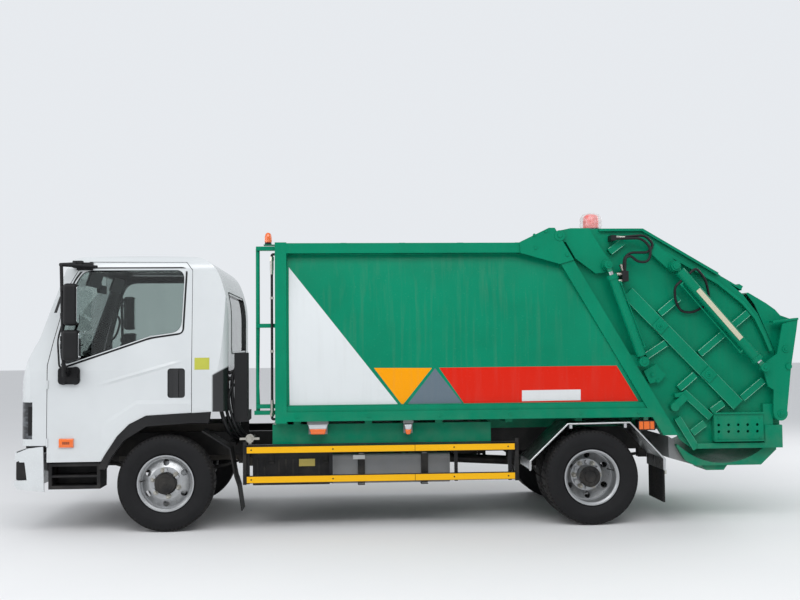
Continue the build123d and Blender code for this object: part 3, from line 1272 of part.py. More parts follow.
def rear_beacon():
    """The warning lamp on the tailgate's hinge plate."""
    beacon = Cylinder(75, 155, align=(Align.CENTER, Align.CENTER, Align.MIN))
    return Pos(-3660, BODY_HALF_W - 180, 2527) * beacon


def front_beacon():
    """The small domed warning lamp on the body's left front post."""
    beacon = Cylinder(30, 108, align=(Align.CENTER, Align.CENTER, Align.MIN))
    return Pos(-857, BODY_HALF_W - 150, BODY_ROOF_Z + 1) * fillet(beacon.edges().sort_by(Axis.Z)[-1], 18)


def tail_lamps():
    """Lamp clusters at the rear of the chassis, hung from the body's low rail."""
    outer = BODY_HALF_W - 20
    lamp = block(-4140, -4005, outer - 80, outer, 806, 880)
    lamp += block(-4090, -4050, outer - 50, outer - 10, 880, BODY_LOW_Z)
    return both_sides(lamp)


roof, back, front = cab_panels()
PIECES = {
    "chassis_frame": chassis_frame(),
    "front_bumper": front_bumper(),
    "engine_block": engine_block(),
    "front_axle": front_axle(),
    "rear_axle": rear_axle(),
    "fuel_tank": fuel_tank(),
    "battery_box": battery_box(),
    "side_guards": side_guards(),
    "rear_fenders": rear_fenders(),
    "mudguards": mudguards(),
    "intake_duct": intake_duct(),
    "knuckle_left": knuckle(),
    "knuckle_right": other_side(knuckle()),
    "front_rim_left": front_rim(),
    "front_rim_right": other_side(front_rim()),
    "front_tyre_left": tyre(0, FRONT_WHEEL_Y),
    "front_tyre_right": tyre(0, -FRONT_WHEEL_Y),
    "rear_rims_left": rear_rims(),
    "rear_rims_right": other_side(rear_rims()),
    "rear_tyres_left": rear_tyres(),
    "rear_tyres_right": other_side(rear_tyres()),
    "cab_roof": roof,
    "cab_back": back,
    "cab_front": front,
    "cab_floor": cab_floor(),
    "cab_glass": cab_glass(),
    "cab_steps": cab_steps(),
    "headlamps": headlamps(),
    "grille": grille(),
    "seats": seats(),
    "dashboard": dashboard(),
    "door_left": door(),
    "door_right": other_side(door()),
    "door_glass_left": door_glass(),
    "door_glass_right": other_side(door_glass()),
    "mirror_left": mirror_arm(),
    "mirror_right": other_side(mirror_arm()),
    "body_floor": body_floor(),
    "body_sides": both_sides(body_side()),
    "body_roof": body_roof(),
    "body_front": body_front(),
    "body_rear_frame": body_rear_frame(),
    "body_hose": body_hose(),
    "ejector": ejector(),
    "front_beacon": front_beacon(),
    "tailgate_sides": both_sides(tailgate_side()),
    "tailgate_roof": tailgate_roof(),
    "hopper_trough": hopper_trough(),
    "leachate_box": leachate_box(),
    "tailgate_hoses": both_sides(tailgate_hoses()),
    "bucket_hoses": both_sides(bucket_hoses()),
    "packer_carriage": packer_carriage(),
    "packer_blade": packer_blade(),
    "lift_barrels": both_sides(lift_barrel()),
    "lift_rods": both_sides(cylinder_rod(LIFT_PIN_LOW, LIFT_PIN_TOP, LIFT_ROD_R, LIFT_Y)),
    "bucket_barrels": both_sides(bucket_barrel()),
    "bucket_rods": both_sides(cylinder_rod(BUCKET_CYL_PIN, BUCKET_EYE, BUCKET_ROD_R, BUCKET_CYL_Y)),
    "bucket": bucket(),
    "rear_beacon": rear_beacon(),
    "tail_lamps": tail_lamps(),
}
for name, shape in PIECES.items():
    save(name, shape)
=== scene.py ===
import math

import bmesh
import bpy
from mathutils import Matrix, Vector


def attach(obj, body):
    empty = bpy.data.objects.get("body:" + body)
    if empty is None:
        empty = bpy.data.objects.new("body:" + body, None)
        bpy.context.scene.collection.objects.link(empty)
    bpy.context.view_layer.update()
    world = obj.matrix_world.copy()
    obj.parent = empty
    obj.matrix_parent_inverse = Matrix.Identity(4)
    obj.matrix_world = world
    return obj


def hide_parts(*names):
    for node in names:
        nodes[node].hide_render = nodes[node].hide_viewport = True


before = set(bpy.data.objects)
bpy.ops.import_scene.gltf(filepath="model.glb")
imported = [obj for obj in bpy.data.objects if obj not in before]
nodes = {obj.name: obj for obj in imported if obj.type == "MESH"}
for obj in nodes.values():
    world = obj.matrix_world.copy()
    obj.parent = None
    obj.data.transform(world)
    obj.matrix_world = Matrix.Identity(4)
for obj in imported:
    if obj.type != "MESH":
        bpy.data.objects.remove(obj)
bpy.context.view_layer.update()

scene = bpy.context.scene
scene.view_settings.view_transform = "Standard"


# Camera: at the photograph's place beside the truck, a little above the window sills, with its
# slight turn, tilt and roll.
CAMERA_PLACE = (0.61245, 9.3, 1.547)
CAMERA_TURN = math.radians(3.4)
CAMERA_TILT = math.radians(2.6)
CAMERA_ROLL = math.radians(-0.5)
level = Vector((-math.sin(CAMERA_TURN), -math.cos(CAMERA_TURN), 0))
right = Vector((-math.cos(CAMERA_TURN), math.sin(CAMERA_TURN), 0))
up = Vector((0, 0, 1))
ahead = level * math.cos(CAMERA_TILT) + up * math.sin(CAMERA_TILT)
raised = up * math.cos(CAMERA_TILT) - level * math.sin(CAMERA_TILT)
camera_x = right * math.cos(CAMERA_ROLL) + raised * math.sin(CAMERA_ROLL)
camera_y = raised * math.cos(CAMERA_ROLL) - right * math.sin(CAMERA_ROLL)
camera_data = bpy.data.cameras.new("camera")
camera_data.lens = 44.24
camera_data.sensor_width = 36.0
camera_data.clip_end = 200.0
camera = bpy.data.objects.new("camera", camera_data)
scene.collection.objects.link(camera)
camera.matrix_world = Matrix.Translation(CAMERA_PLACE) @ Matrix((camera_x, camera_y,
                                                                 -ahead)).transposed().to_4x4()
scene.camera = camera


# Lamps: a wide soft one above the near side, one before the cab and one behind the tailgate, with
# a pale world round them.
LAMPS = (
    ("near_lamp", (0.5, 7.0, 7.0), (0, 0.3, 1.0), 9.0, 4.0, 400.0),
    ("front_lamp", (9.0, 3.5, 4.5), (2.0, 0, 1.2), 4.0, 4.0, 170.0),
    ("rear_lamp", (-8.5, -3.5, 5.5), (-2.0, 0, 1.2), 5.0, 4.0, 210.0),
)
for name, place, aim, width, depth, power in LAMPS:
    light = bpy.data.lights.new(name, "AREA")
    light.shape = "RECTANGLE"
    light.size = width
    light.size_y = depth
    light.energy = power
    holder = bpy.data.objects.new(name, light)
    scene.collection.objects.link(holder)
    holder.location = place
    holder.rotation_euler = (Vector(aim) - Vector(place)).to_track_quat("-Z", "Y").to_euler()
world = bpy.data.worlds.new("studio")
scene.world = world
world.use_nodes = True
sky = world.node_tree.nodes["Background"]
sky.inputs["Color"].default_value = (0.93, 0.96, 1.0, 1)
seen = world.node_tree.nodes.new("ShaderNodeLightPath")
glow = world.node_tree.nodes.new("ShaderNodeMapRange")
world.node_tree.links.new(seen.outputs["Is Camera Ray"], glow.inputs["Value"])
glow.inputs["To Min"].default_value = 0.72
glow.inputs["To Max"].default_value = 0.86
world.node_tree.links.new(glow.outputs[0], sky.inputs["Strength"])


# Floor: a plain pale slab under the wheels, not part of the truck, that keeps the truck's shadow.
# Its paint is the first of the finishes, which are all laid down in the same way.
class Finish:
    """A finish of the truck's, laid down in layers: each call adds one, over Object coordinates."""

    def __init__(self, name):
        self.material = bpy.data.materials.new(name)
        self.material.use_nodes = True
        self.tree = self.material.node_tree
        self.shader = self.tree.nodes["Principled BSDF"]
        self.place = self.add("ShaderNodeTexCoord").outputs["Object"]
        split = self.add("ShaderNodeSeparateXYZ")
        self.join(self.place, split.inputs[0])
        self.x, self.y, self.z = split.outputs
        self.facing = self.add("ShaderNodeTexCoord").outputs["Normal"]

    def add(self, kind, **settings):
        made = self.tree.nodes.new(kind)
        for key, value in settings.items():
            setattr(made, key, value)
        return made

    def join(self, start, end):
        self.tree.links.new(start, end)

    def noise(self, scale, detail=3.0, stretch=(1, 1, 1)):
        """Cloudy noise; stretch draws it out along an axis where it is below 1."""
        mapping = self.add("ShaderNodeMapping")
        mapping.inputs["Scale"].default_value = stretch
        cloud = self.add("ShaderNodeTexNoise")
        cloud.inputs["Scale"].default_value = scale
        cloud.inputs["Detail"].default_value = detail
        self.join(self.place, mapping.inputs["Vector"])
        self.join(mapping.outputs["Vector"], cloud.inputs["Vector"])
        return cloud.outputs["Fac"]

    def span(self, value, low, high, out_low=0.0, out_high=1.0):
        """value carried from low..high to out_low..out_high, and held there."""
        carry = self.add("ShaderNodeMapRange")
        for socket, number in zip(carry.inputs[1:5], (low, high, out_low, out_high)):
            socket.default_value = number
        self.join(value, carry.inputs[0])
        return carry.outputs[0]

    def math(self, kind, a, b=None):
        node = self.add("ShaderNodeMath", operation=kind)
        self.join(a, node.inputs[0])
        if isinstance(b, (int, float)):
            node.inputs[1].default_value = b
        elif b is not None:
            self.join(b, node.inputs[1])
        return node.outputs[0]

    def times(self, a, b):
        return self.math("MULTIPLY", a, b)

    def plus(self, a, b):
        return self.math("ADD", a, b)

    def minus(self, a, b):
        return self.math("SUBTRACT", a, b)

    def mix(self, share, a, b):
        """Colour a where share is 0 and b where it is 1."""
        node = self.add("ShaderNodeMix", data_type="RGBA")
        self.join(share, node.inputs[0])
        for socket, colour in ((node.inputs[6], a), (node.inputs[7], b)):
            if isinstance(colour, tuple):
                socket.default_value = (*colour, 1)
            else:
                self.join(colour, socket)
        return node.outputs[2]

    def within(self, value, low, high, soft=0.0005):
        """1 where value lies from low to high, 0 outside."""
        rise = self.span(value, low - soft, low + soft)
        fall = self.span(value, high - soft, high + soft, 1.0, 0.0)
        return self.times(rise, fall)

    def from_axle(self, x, z):
        """The distance from a cross axis at (x, z)."""
        mapping = self.add("ShaderNodeMapping")
        mapping.inputs["Location"].default_value = (-x, 0, -z)
        mapping.inputs["Scale"].default_value = (1, 0, 1)
        size = self.add("ShaderNodeVectorMath", operation="LENGTH")
        self.join(self.place, mapping.inputs["Vector"])
        self.join(mapping.outputs["Vector"], size.inputs[0])
        return size.outputs["Value"]

    def colour(self, socket):
        self.join(socket, self.shader.inputs["Base Color"])

    def rough(self, value, low, high):
        self.join(self.span(value, 0.3, 0.7, low, high), self.shader.inputs["Roughness"])

    def relief(self, value, strength, depth=0.001):
        node = self.add("ShaderNodeBump")
        node.inputs["Strength"].default_value = strength
        node.inputs["Distance"].default_value = depth
        self.join(value, node.inputs["Height"])
        self.join(node.outputs["Normal"], self.shader.inputs["Normal"])

    def hold(self, **values):
        """Numbers on the shader's own sockets."""
        for key, value in values.items():
            self.shader.inputs[key.replace("_", " ")].default_value = value
        return self


def plain(name, light, dark, cloud, grain, rough, relief=None, **held):
    """A clean material: two near tints in cloudy noise, a fine grain in its sheen, and relief, if any,
    as the scale and detail of its noise, then strength and depth."""
    finish = Finish(name)
    finish.colour(finish.mix(finish.noise(*cloud), light, dark))
    finish.rough(finish.noise(*grain), *rough)
    if relief:
        finish.relief(finish.noise(*relief[:2]), *relief[2:])
    return finish.hold(**held)


floor_paint = plain("studio_floor", (0.77, 0.77, 0.78), (0.80, 0.80, 0.80), (0.8,), (5.0,), (0.8, 0.9))
slab = bmesh.new()
bmesh.ops.create_grid(slab, x_segments=1, y_segments=1, size=60.0)
floor_mesh = bpy.data.meshes.new("floor")
slab.to_mesh(floor_mesh)
slab.free()
floor = bpy.data.objects.new("floor", floor_mesh)
scene.collection.objects.link(floor)
floor_mesh.materials.append(floor_paint.material)


# Tyres: 225 mm wide radial truck tyres of black rubber, moulded with four straight rain grooves,
# cross sipes and notched shoulders. Each is turned from its half section and replaces its plain solid.
FRONT_AXLE = 2.093
WHEELBASE = 3.6
REAR_AXLE = FRONT_AXLE - WHEELBASE
AXLE_UP = 0.4025
SIDES = ((1, "left"), (-1, "right"))
TYRE_HALF = ((0.0800, 0.2225), (0.0800, 0.2360), (0.0865, 0.2440), (0.0940, 0.2490), (0.0975, 0.2530),
             (0.0985, 0.2590), (0.0995, 0.2620), (0.1040, 0.2780), (0.1085, 0.2960), (0.1108, 0.3080),
             (0.1116, 0.3100), (0.1123, 0.3240), (0.1124, 0.3360), (0.1112, 0.3500), (0.1106, 0.3520),
             (0.1088, 0.3640), (0.1082, 0.3660), (0.1068, 0.3770), (0.1040, 0.3850), (0.0985, 0.3925),
             (0.0900, 0.3984), (0.0640, 0.4006), (0.0625, 0.3915), (0.0545, 0.3915), (0.0530, 0.4012),
             (0.0250, 0.4022), (0.0235, 0.3920), (0.0165, 0.3920), (0.0150, 0.4024), )
TYRE_STEPS = 144
TREAD_FROM = 0.378
NOTCH_WALL = 0.0016
# Each row of notches: from and to across the tread, one step in how many, and how deep.
NOTCHES = ((0.068, 0.088, 3, -0.006), (0.030, 0.052, 4, -0.005), (0.0, 0.012, 4, -0.005),
           (0.099, 0.1055, 2, -0.004))


def spun(shape, points, centre, axis, steps, closed=False, cuts=0):
    """Turns a line of points once round an axis through a centre; returns the new faces."""
    before = set(shape.faces)
    line = [shape.verts.new(point) for point in points]
    edges = [shape.edges.new(pair) for pair in zip(line, line[1:])]
    if closed:
        edges.append(shape.edges.new((line[-1], line[0])))
    if cuts:
        bmesh.ops.subdivide_edges(shape, edges=edges, cuts=cuts)
        line, edges = shape.verts[:], shape.edges[:]
    bmesh.ops.spin(shape, geom=line + edges, cent=centre, axis=axis, dvec=(0, 0, 0), angle=2 * math.pi,
                   steps=steps, use_merge=True, use_duplicate=False)
    return [face for face in shape.faces if face not in before]


def turned(shape, section, x, steps, closed=False):
    """Turns a section of (y, radius) points round the axle at x."""
    return spun(shape, [(x, y, AXLE_UP + r) for y, r in section], (x, 0, AXLE_UP), (0, 1, 0), steps, closed)


WELD_WITHIN = 0.00002


def fit(name, shape, finish, body, smooth=35.0):
    """Makes a finished piece of a shape whose x runs forward from the front axle: welded, turned
    outwards, smoothed, painted and carried by a body."""
    bmesh.ops.remove_doubles(shape, verts=shape.verts, dist=WELD_WITHIN)
    bmesh.ops.recalc_face_normals(shape, faces=shape.faces)
    bmesh.ops.translate(shape, verts=shape.verts, vec=(FRONT_AXLE, 0, 0))
    mesh = bpy.data.meshes.new(name)
    shape.to_mesh(mesh)
    shape.free()
    mesh.shade_smooth()
    mesh.set_sharp_from_angle(angle=math.radians(smooth))
    mesh.materials.append(finish.material)
    piece = bpy.data.objects.new(name, mesh)
    scene.collection.objects.link(piece)
    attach(piece, body)
    return piece


def rubber_finish(name, x):
    """Black rubber with moulding rings round the axle at x and grey road dust in the tread."""
    finish = Finish(name)
    radius = finish.from_axle(x, AXLE_UP)
    base = finish.mix(finish.noise(9.0, 5.0), (0.006, 0.006, 0.007), (0.012, 0.012, 0.013))
    tread = finish.span(radius, 0.372, 0.402)
    dust = finish.times(tread, finish.span(finish.noise(14.0, 6.0), 0.35, 0.7, 0.03, 0.35))
    finish.colour(finish.mix(dust, base, (0.065, 0.060, 0.054)))
    fine = finish.noise(260.0, 3.0)
    finish.rough(fine, 0.52, 0.74)
    rings = finish.span(finish.math("SINE", finish.times(radius, 1900.0)), -1.0, 1.0)
    sidewall = finish.within(radius, 0.264, 0.302, 0.004)
    finish.relief(finish.plus(finish.times(rings, sidewall), fine), 0.35, 0.0006)
    return finish.hold(Specular_IOR_Level=0.22)


def tyre_shape(shape, x, y):
    section = [(y - w, r) for w, r in TYRE_HALF] + [(y + w, r) for w, r in reversed(TYRE_HALF)]
    faces = turned(shape, section, x, TYRE_STEPS, closed=True)
    bmesh.ops.recalc_face_normals(shape, faces=faces)
    for low, high, period, depth in NOTCHES:
        notched = []
        for face in faces:
            middle = face.calc_center_median()
            wide = abs(middle.y - y)
            angle = math.atan2(middle.x - x, middle.z - AXLE_UP) / (2 * math.pi) * TYRE_STEPS
            reach = math.hypot(middle.x - x, middle.z - AXLE_UP)
            if low <= wide <= high and reach > TREAD_FROM and math.floor(angle) % period == 0:
                notched.append(face)
        bmesh.ops.inset_individual(shape, faces=notched, thickness=NOTCH_WALL, depth=depth,
                                   use_even_offset=True)


front_rubber = rubber_finish("front_tyre_rubber", FRONT_AXLE)
rear_rubber = rubber_finish("rear_tyre_rubber", REAR_AXLE)
for side, word in SIDES:
    shape = bmesh.new()
    tyre_shape(shape, 0.0, side * 0.822)
    tyre = fit(f"front_tyre_{word}_moulded", shape, front_rubber, f"front_wheel_{word}")
    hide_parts(f"front_tyre_{word}")
    shape = bmesh.new()
    for y in (0.888, 0.636):
        tyre_shape(shape, -WHEELBASE, side * y)
    tyre = fit(f"rear_tyres_{word}_moulded", shape, rear_rubber, f"rear_wheels_{word}")
    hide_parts(f"rear_tyres_{word}")


# Wheels: pressed steel discs in silver paint, with a little brake dust round the nuts and the
# hand holes, and painted shade on the inboard side of each wheel. The rims themselves are the
# frame's own pieces.
def painted(name, light, dark, rough, grain=70.0, relief=0.06, dust=0.3, dust_top=1.0, streaks=0.0, **held):
    """Sprayed paint: two near tints, fine orange peel, and road dust that gathers towards the ground."""
    finish = Finish(name)
    base = finish.mix(finish.span(finish.noise(2.4, 5.0), 0.35, 0.65), light, dark)
    low = finish.span(finish.z, 0.2, dust_top, 1.0, 0.0)
    dirt = finish.times(low, finish.span(finish.noise(8.0, 6.0), 0.38, 0.75, 0.0, dust))
    if streaks:
        runs = finish.span(finish.noise(26.0, 4.0, (1, 1, 0.06)), 0.5, 0.8, 0.0, streaks)
        dirt = finish.plus(dirt, runs)
    finish.colour(finish.mix(dirt, base, (0.26, 0.235, 0.20)))
    fine = finish.noise(grain, 2.0)
    finish.rough(fine, *rough)
    finish.relief(fine, relief, 0.001)
    return finish.hold(**held)


def coat(finish, *names):
    """Puts a finish on pieces that come from the frame."""
    for name in names:
        mesh = nodes[name].data
        mesh.materials.clear()
        mesh.materials.append(finish.material)


def rim_finish(name, x):
    finish = Finish(name)
    radius = finish.from_axle(x, AXLE_UP)
    base = finish.mix(finish.noise(5.0, 5.0), (0.47, 0.48, 0.49), (0.38, 0.39, 0.40))
    ring = finish.within(radius, 0.150, 0.205, 0.02)
    grime = finish.times(ring, finish.span(finish.noise(22.0, 6.0), 0.35, 0.75, 0.05, 0.5))
    # Painted shade: inboard of the outer rims the silver is darkened, on the inner twin wheels and behind the
    # discs.
    inboard_shade = finish.span(finish.math("ABSOLUTE", finish.y), 0.70, 0.74, 0.9, 0.0)
    shade = finish.math("MAXIMUM", grime, inboard_shade)
    finish.colour(finish.mix(shade, base, (0.12, 0.115, 0.105)))
    finish.rough(finish.noise(120.0), 0.26, 0.42)
    finish.relief(finish.noise(160.0), 0.08)
    return finish.hold(Metallic=0.75)


coat(rim_finish("front_rim_silver", FRONT_AXLE), "front_rim_left", "front_rim_right")
coat(rim_finish("rear_rim_silver", REAR_AXLE), "rear_rims_left", "rear_rims_right")


# Wheel nuts: six flanged hexagon nuts a wheel on their studs, zinc plated, with pressed rings under
# them. The front hub is closed by a black painted cap; the rear one shows its bolted axle flange.
def rod(shape, start, end, r, sides=20, r_end=None):
    """A round bar or cone from start to end."""
    start, end = Vector(start), Vector(end)
    run = end - start
    turn = run.to_track_quat("Z", "Y").to_matrix().to_4x4()
    return bmesh.ops.create_cone(shape, cap_ends=True, cap_tris=False, segments=sides, radius1=r,
                                 radius2=r if r_end is None else r_end, depth=run.length,
                                 matrix=Matrix.Translation((start + end) / 2) @ turn)["verts"]


def pin(shape, x, z, y0, y1, r, sides=20, r_end=None):
    """A round bar or cone lying across the truck."""
    rod(shape, (x, y0, z), (x, y1, z), r, sides, r_end)


zinc = painted("zinc_plate", (0.56, 0.55, 0.50), (0.44, 0.42, 0.37), (0.25, 0.42), 200.0, 0.15, 0.3,
               Metallic=1.0)
satin_black = painted("satin_black", (0.006, 0.006, 0.007), (0.012, 0.012, 0.012), (0.32, 0.5), 120.0, 0.1,
                      0.2, Specular_IOR_Level=0.25)
NUT_CIRCLE = 0.111
# Steps of a nut: from and to across, radius, sides, and the radius it narrows to.
NUT = ((0.0, 0.006, 0.0225, 24, 0.020), (0.006, 0.036, 0.0185, 6, None), (0.036, 0.041, 0.0155, 16, 0.011),
       (0.041, 0.050, 0.0085, 12, 0.007))
HUB_CAP = ((0.8905, 0.0), (0.8905, 0.092), (0.896, 0.094), (0.900, 0.0885), (0.9335, 0.0880), (0.9395, 0.083),
           (0.9395, 0.060), (0.9370, 0.057), (0.9370, 0.0))
FLANGE = ((0.901, 0.0), (0.901, 0.0895), (0.919, 0.0895), (0.922, 0.086), (0.922, 0.052), (0.928, 0.046),
          (0.928, 0.0))
FLANGE_BOLT_CIRCLE = 0.069
# Each valve stem: points as (x from its axle, y, height over the axle).
VALVES = (("front", 0.0, ((0.180, 0.862, 0.022), (0.198, 0.905, 0.02), (0.203, 0.917, 0.02))),
          ("rear", -WHEELBASE, ((-0.175, 0.815, 0.05), (-0.192, 0.93, 0.055), (-0.194, 0.945, 0.0555))))
for side, word in SIDES:
    bodies = {"front": f"front_wheel_{word}", "rear": f"rear_wheels_{word}"}
    for axle, x, face, first in (("front", 0.0, 0.891, 12), ("rear", -WHEELBASE, 0.776, 30)):
        near = side * face
        shape = bmesh.new()
        for index in range(6):
            turn = math.radians(60 * index + first)
            nut_x = x + NUT_CIRCLE * math.sin(turn)
            nut_z = AXLE_UP + NUT_CIRCLE * math.cos(turn)
            for low, high, r, sides, r_end in NUT:
                pin(shape, nut_x, nut_z, near + side * low, near + side * high, r, sides, r_end)
        fit(f"{axle}_wheel_nuts_{word}", shape, zinc, bodies[axle], 28)
    shape = bmesh.new()
    turned(shape, [(side * y, r) for y, r in HUB_CAP], 0.0, 48)
    pin(shape, 0.0, AXLE_UP, side * 0.937, side * 0.9405, 0.018, 24, 0.014)
    fit(f"front_hub_cap_{word}", shape, satin_black, bodies["front"])
    shape = bmesh.new()
    turned(shape, [(side * y, r) for y, r in FLANGE], -WHEELBASE, 48)
    for index in range(8):
        turn = math.radians(45 * index)
        pin(shape, FLANGE_BOLT_CIRCLE * math.sin(turn) - WHEELBASE,
            AXLE_UP + FLANGE_BOLT_CIRCLE * math.cos(turn), side * 0.922, side * 0.931, 0.0105, 6)
    fit(f"rear_axle_flange_{word}", shape, satin_black, bodies["rear"], 28)
    for axle, x, points in VALVES:
        shape = bmesh.new()
        foot, neck, tip = ((x + along, side * y, AXLE_UP + over) for along, y, over in points)
        rod(shape, foot, neck, 0.0045, 12)
        rod(shape, neck, tip, 0.0065, 12)
        fit(f"{axle}_valve_{word}", shape, satin_black, bodies[axle])


# Chassis: rolled and welded steel frame, springs and axles in satin black, with road dust low down.
# The engine and the steering knuckles are bare castings.
chassis_paint = painted("chassis_paint", (0.006, 0.006, 0.007), (0.013, 0.012, 0.012), (0.34, 0.58), 110.0,
                        0.14, 0.3, 0.9, Specular_IOR_Level=0.25)
castings = painted("casting", (0.055, 0.053, 0.050), (0.095, 0.082, 0.068), (0.5, 0.75), 170.0, 0.5, 0.5)
coat(chassis_paint, "chassis_frame", "front_axle", "rear_axle", "cab_floor")
coat(castings, "engine_block", "knuckle_left", "knuckle_right")


# Spring clamps: two zinc plated U-bolts over each leaf pack, with their nuts below and a plate on top
# of the leaves.
def box(shape, x0, x1, y0, y1, z0, z1):
    """A block between two corners."""
    size = Matrix.Diagonal((abs(x1 - x0), abs(y1 - y0), abs(z1 - z0), 1))
    middle = Matrix.Translation(((x0 + x1) / 2, (y0 + y1) / 2, (z0 + z1) / 2))
    return bmesh.ops.create_cube(shape, size=1.0, matrix=middle @ size)["verts"]


def mirrored(shape):
    """Adds the same shape on the truck's other side."""
    bmesh.ops.mirror(shape, geom=shape.verts[:] + shape.edges[:] + shape.faces[:], axis="Y", merge_dist=0)


SPRING_Y = 0.4175
shape = bmesh.new()
for axle_x in (0.0, -WHEELBASE):
    for step in (-0.062, 0.062):
        for edge in (-0.030, 0.030):
            rod(shape, (axle_x + step, SPRING_Y + edge, 0.33), (axle_x + step, SPRING_Y + edge, 0.535), 0.008,
                10)
            rod(shape, (axle_x + step, SPRING_Y + edge, 0.318), (axle_x + step, SPRING_Y + edge, 0.334),
                0.013, 6)
        pin(shape, axle_x + step, 0.532, SPRING_Y - 0.030, SPRING_Y + 0.030, 0.008, 10)
    box(shape, axle_x - 0.085, axle_x + 0.085, SPRING_Y - 0.042, SPRING_Y + 0.042, 0.508, 0.524)
mirrored(shape)
fit("spring_u_bolts", shape, zinc, "chassis", 28)


# Side guards: black box rails each side between the axles, with a yellow reflecting strip along
# each rail's face. The posts stay black.
guard = Finish("guard_paint")
face = guard.span(guard.math("ABSOLUTE", guard.y), 0.996, 0.998)
rows = guard.plus(guard.within(guard.z, 0.653, 0.7035),
                  guard.within(guard.z, 0.407, 0.4585))
reach = guard.within(guard.x, FRONT_AXLE - 2.935, FRONT_AXLE - 0.684)
strip = guard.times(guard.times(face, rows), reach)
film = guard.mix(guard.noise(3.0, 5.0), (0.87, 0.46, 0.002), (0.80, 0.41, 0.001))
seam = guard.within(guard.math("FRACT", guard.times(guard.x, 0.65)), 0.0, 0.004, 0.001)
film = guard.mix(seam, film, (0.30, 0.14, 0.0))
guard.colour(guard.mix(strip, (0.008, 0.008, 0.009), film))
guard.rough(guard.noise(60.0), 0.28, 0.42)
guard.relief(guard.plus(strip, guard.noise(140.0)), 0.25, 0.0008)
guard.hold(Specular_IOR_Level=0.25)
coat(guard, "side_guards")


def bevelled(shape, width, segments=3, edges=None):
    bmesh.ops.bevel(shape, geom=edges or shape.edges[:], offset=width, segments=segments, profile=0.5,
                    affect="EDGES", material=-1, clamp_overlap=True)


shape = bmesh.new()
for x0, x1 in ((-0.680, -0.650), (-2.972, -2.940)):
    box(shape, x0, x1, 0.955, 0.988, 0.390, 0.748)
for x in (-0.72, -1.40, -2.42, -2.88):
    for z in (0.679, 0.433):
        pin(shape, x, z, 0.999, 1.004, 0.007, 12, 0.005)
box(shape, -2.972, -0.650, 0.955, 0.990, 0.712, 0.722)
bevelled(shape, 0.003, 2, [edge for edge in shape.edges if edge.calc_length() > 0.03])
mirrored(shape)
fit("side_guard_posts", shape, satin_black, "chassis")


# Fuel tank: a rounded sheet steel tank in grey paint, held by two rubber-lined black straps.
# Bolts tighten the straps, and the filler has a faceted cap.
tank_grey = painted("tank_grey", (0.235, 0.24, 0.245), (0.19, 0.195, 0.20), (0.32, 0.5), 90.0, 0.08, 0.4)
strap_rubber = painted("strap_rubber", (0.007, 0.007, 0.008), (0.014, 0.014, 0.014), (0.5, 0.7), 240.0, 0.3,
                       0.3, Specular_IOR_Level=0.25)
coat(tank_grey, "fuel_tank", "leachate_box")
shape = bmesh.new()
for x in (-1.640, -2.180):
    box(shape, x - 0.030, x + 0.030, 0.8565, 0.862, 0.372, 0.617)
    box(shape, x - 0.030, x + 0.030, 0.480, 0.860, 0.356, 0.3605)
    rod(shape, (x, 0.866, 0.380), (x, 0.866, 0.460), 0.006, 10)
    rod(shape, (x, 0.866, 0.455), (x, 0.866, 0.467), 0.012, 6)
fit("tank_strap_liners", shape, strap_rubber, "chassis", 28)
shape = bmesh.new()
for x in (-1.420, -2.370):
    box(shape, x - 0.004, x + 0.004, 0.535, 0.853, 0.405, 0.585)
rod(shape, (-1.500, 0.70, 0.615), (-1.500, 0.70, 0.640), 0.045, 32)
rod(shape, (-1.500, 0.70, 0.638), (-1.500, 0.70, 0.662), 0.052, 18)
fit("tank_seams_and_cap", shape, tank_grey, "chassis", 28)
plate_white = painted("plate_white", (0.70, 0.71, 0.70), (0.64, 0.65, 0.64), (0.3, 0.45), 80.0, 0.05, 0.3)
shape = bmesh.new()
box(shape, -1.671, -1.569, 0.8625, 0.8645, 0.575, 0.610)
fit("tank_plate", shape, plate_white, "chassis")


# Battery box: moulded black plastic with a lid held by two rubber latches, and a blank yellow
# service plate on its face.
black_plastic = painted("black_plastic", (0.006, 0.006, 0.007), (0.011, 0.011, 0.012), (0.42, 0.62), 420.0,
                        0.35, 0.12, Specular_IOR_Level=0.28)
coat(black_plastic, "battery_box", "intake_duct", "grille")
shape = bmesh.new()
for x in (-0.880, -1.335):
    box(shape, x - 0.018, x + 0.018, 0.856, 0.868, 0.545, 0.632)
    rod(shape, (x - 0.022, 0.866, 0.560), (x + 0.022, 0.866, 0.560), 0.008, 12)
for x in (-0.76, -0.82, -0.94, -1.00, -1.06, -1.28):
    box(shape, x - 0.008, x + 0.008, 0.849, 0.856, 0.385, 0.585)
fit("battery_box_latches", shape, strap_rubber, "chassis")
yellow_plate = painted("plate_yellow", (0.62, 0.50, 0.10), (0.56, 0.44, 0.08), (0.3, 0.4), 60.0, 0.05, 0.3)
shape = bmesh.new()
box(shape, -1.246, -1.111, 0.8555, 0.8575, 0.523, 0.584)
fit("battery_box_plate", shape, yellow_plate, "chassis")


# Rear fenders: bent stainless sheet over the twin wheels, brushed along its length, bright on the
# rounded bead of its rim and dull where dust lies.
fender = Finish("brushed_stainless")
brush = fender.noise(90.0, 4.0, (0.05, 1, 0.05))
steel_tint = fender.mix(brush, (0.66, 0.67, 0.68), (0.52, 0.53, 0.54))
fender.colour(fender.mix(fender.span(fender.noise(9.0, 6.0), 0.45, 0.75, 0.0, 0.35), steel_tint,
                         (0.32, 0.30, 0.27)))
fender.rough(brush, 0.22, 0.40)
fender.relief(brush, 0.12, 0.0005)
fender.hold(Metallic=1.0)
coat(fender, "rear_fenders")
shape = bmesh.new()
FENDER_LINE = ((-3.061, 0.481), (-3.061, 0.559), (-3.389, 0.868), (-3.925, 0.874), (-4.220, 0.558),
               (-4.218, 0.463))
for (x0, z0), (x1, z1) in zip(FENDER_LINE, FENDER_LINE[1:]):
    rod(shape, (x0, 1.020, z0 - 0.006), (x1, 1.020, z1 - 0.006), 0.0085, 14)
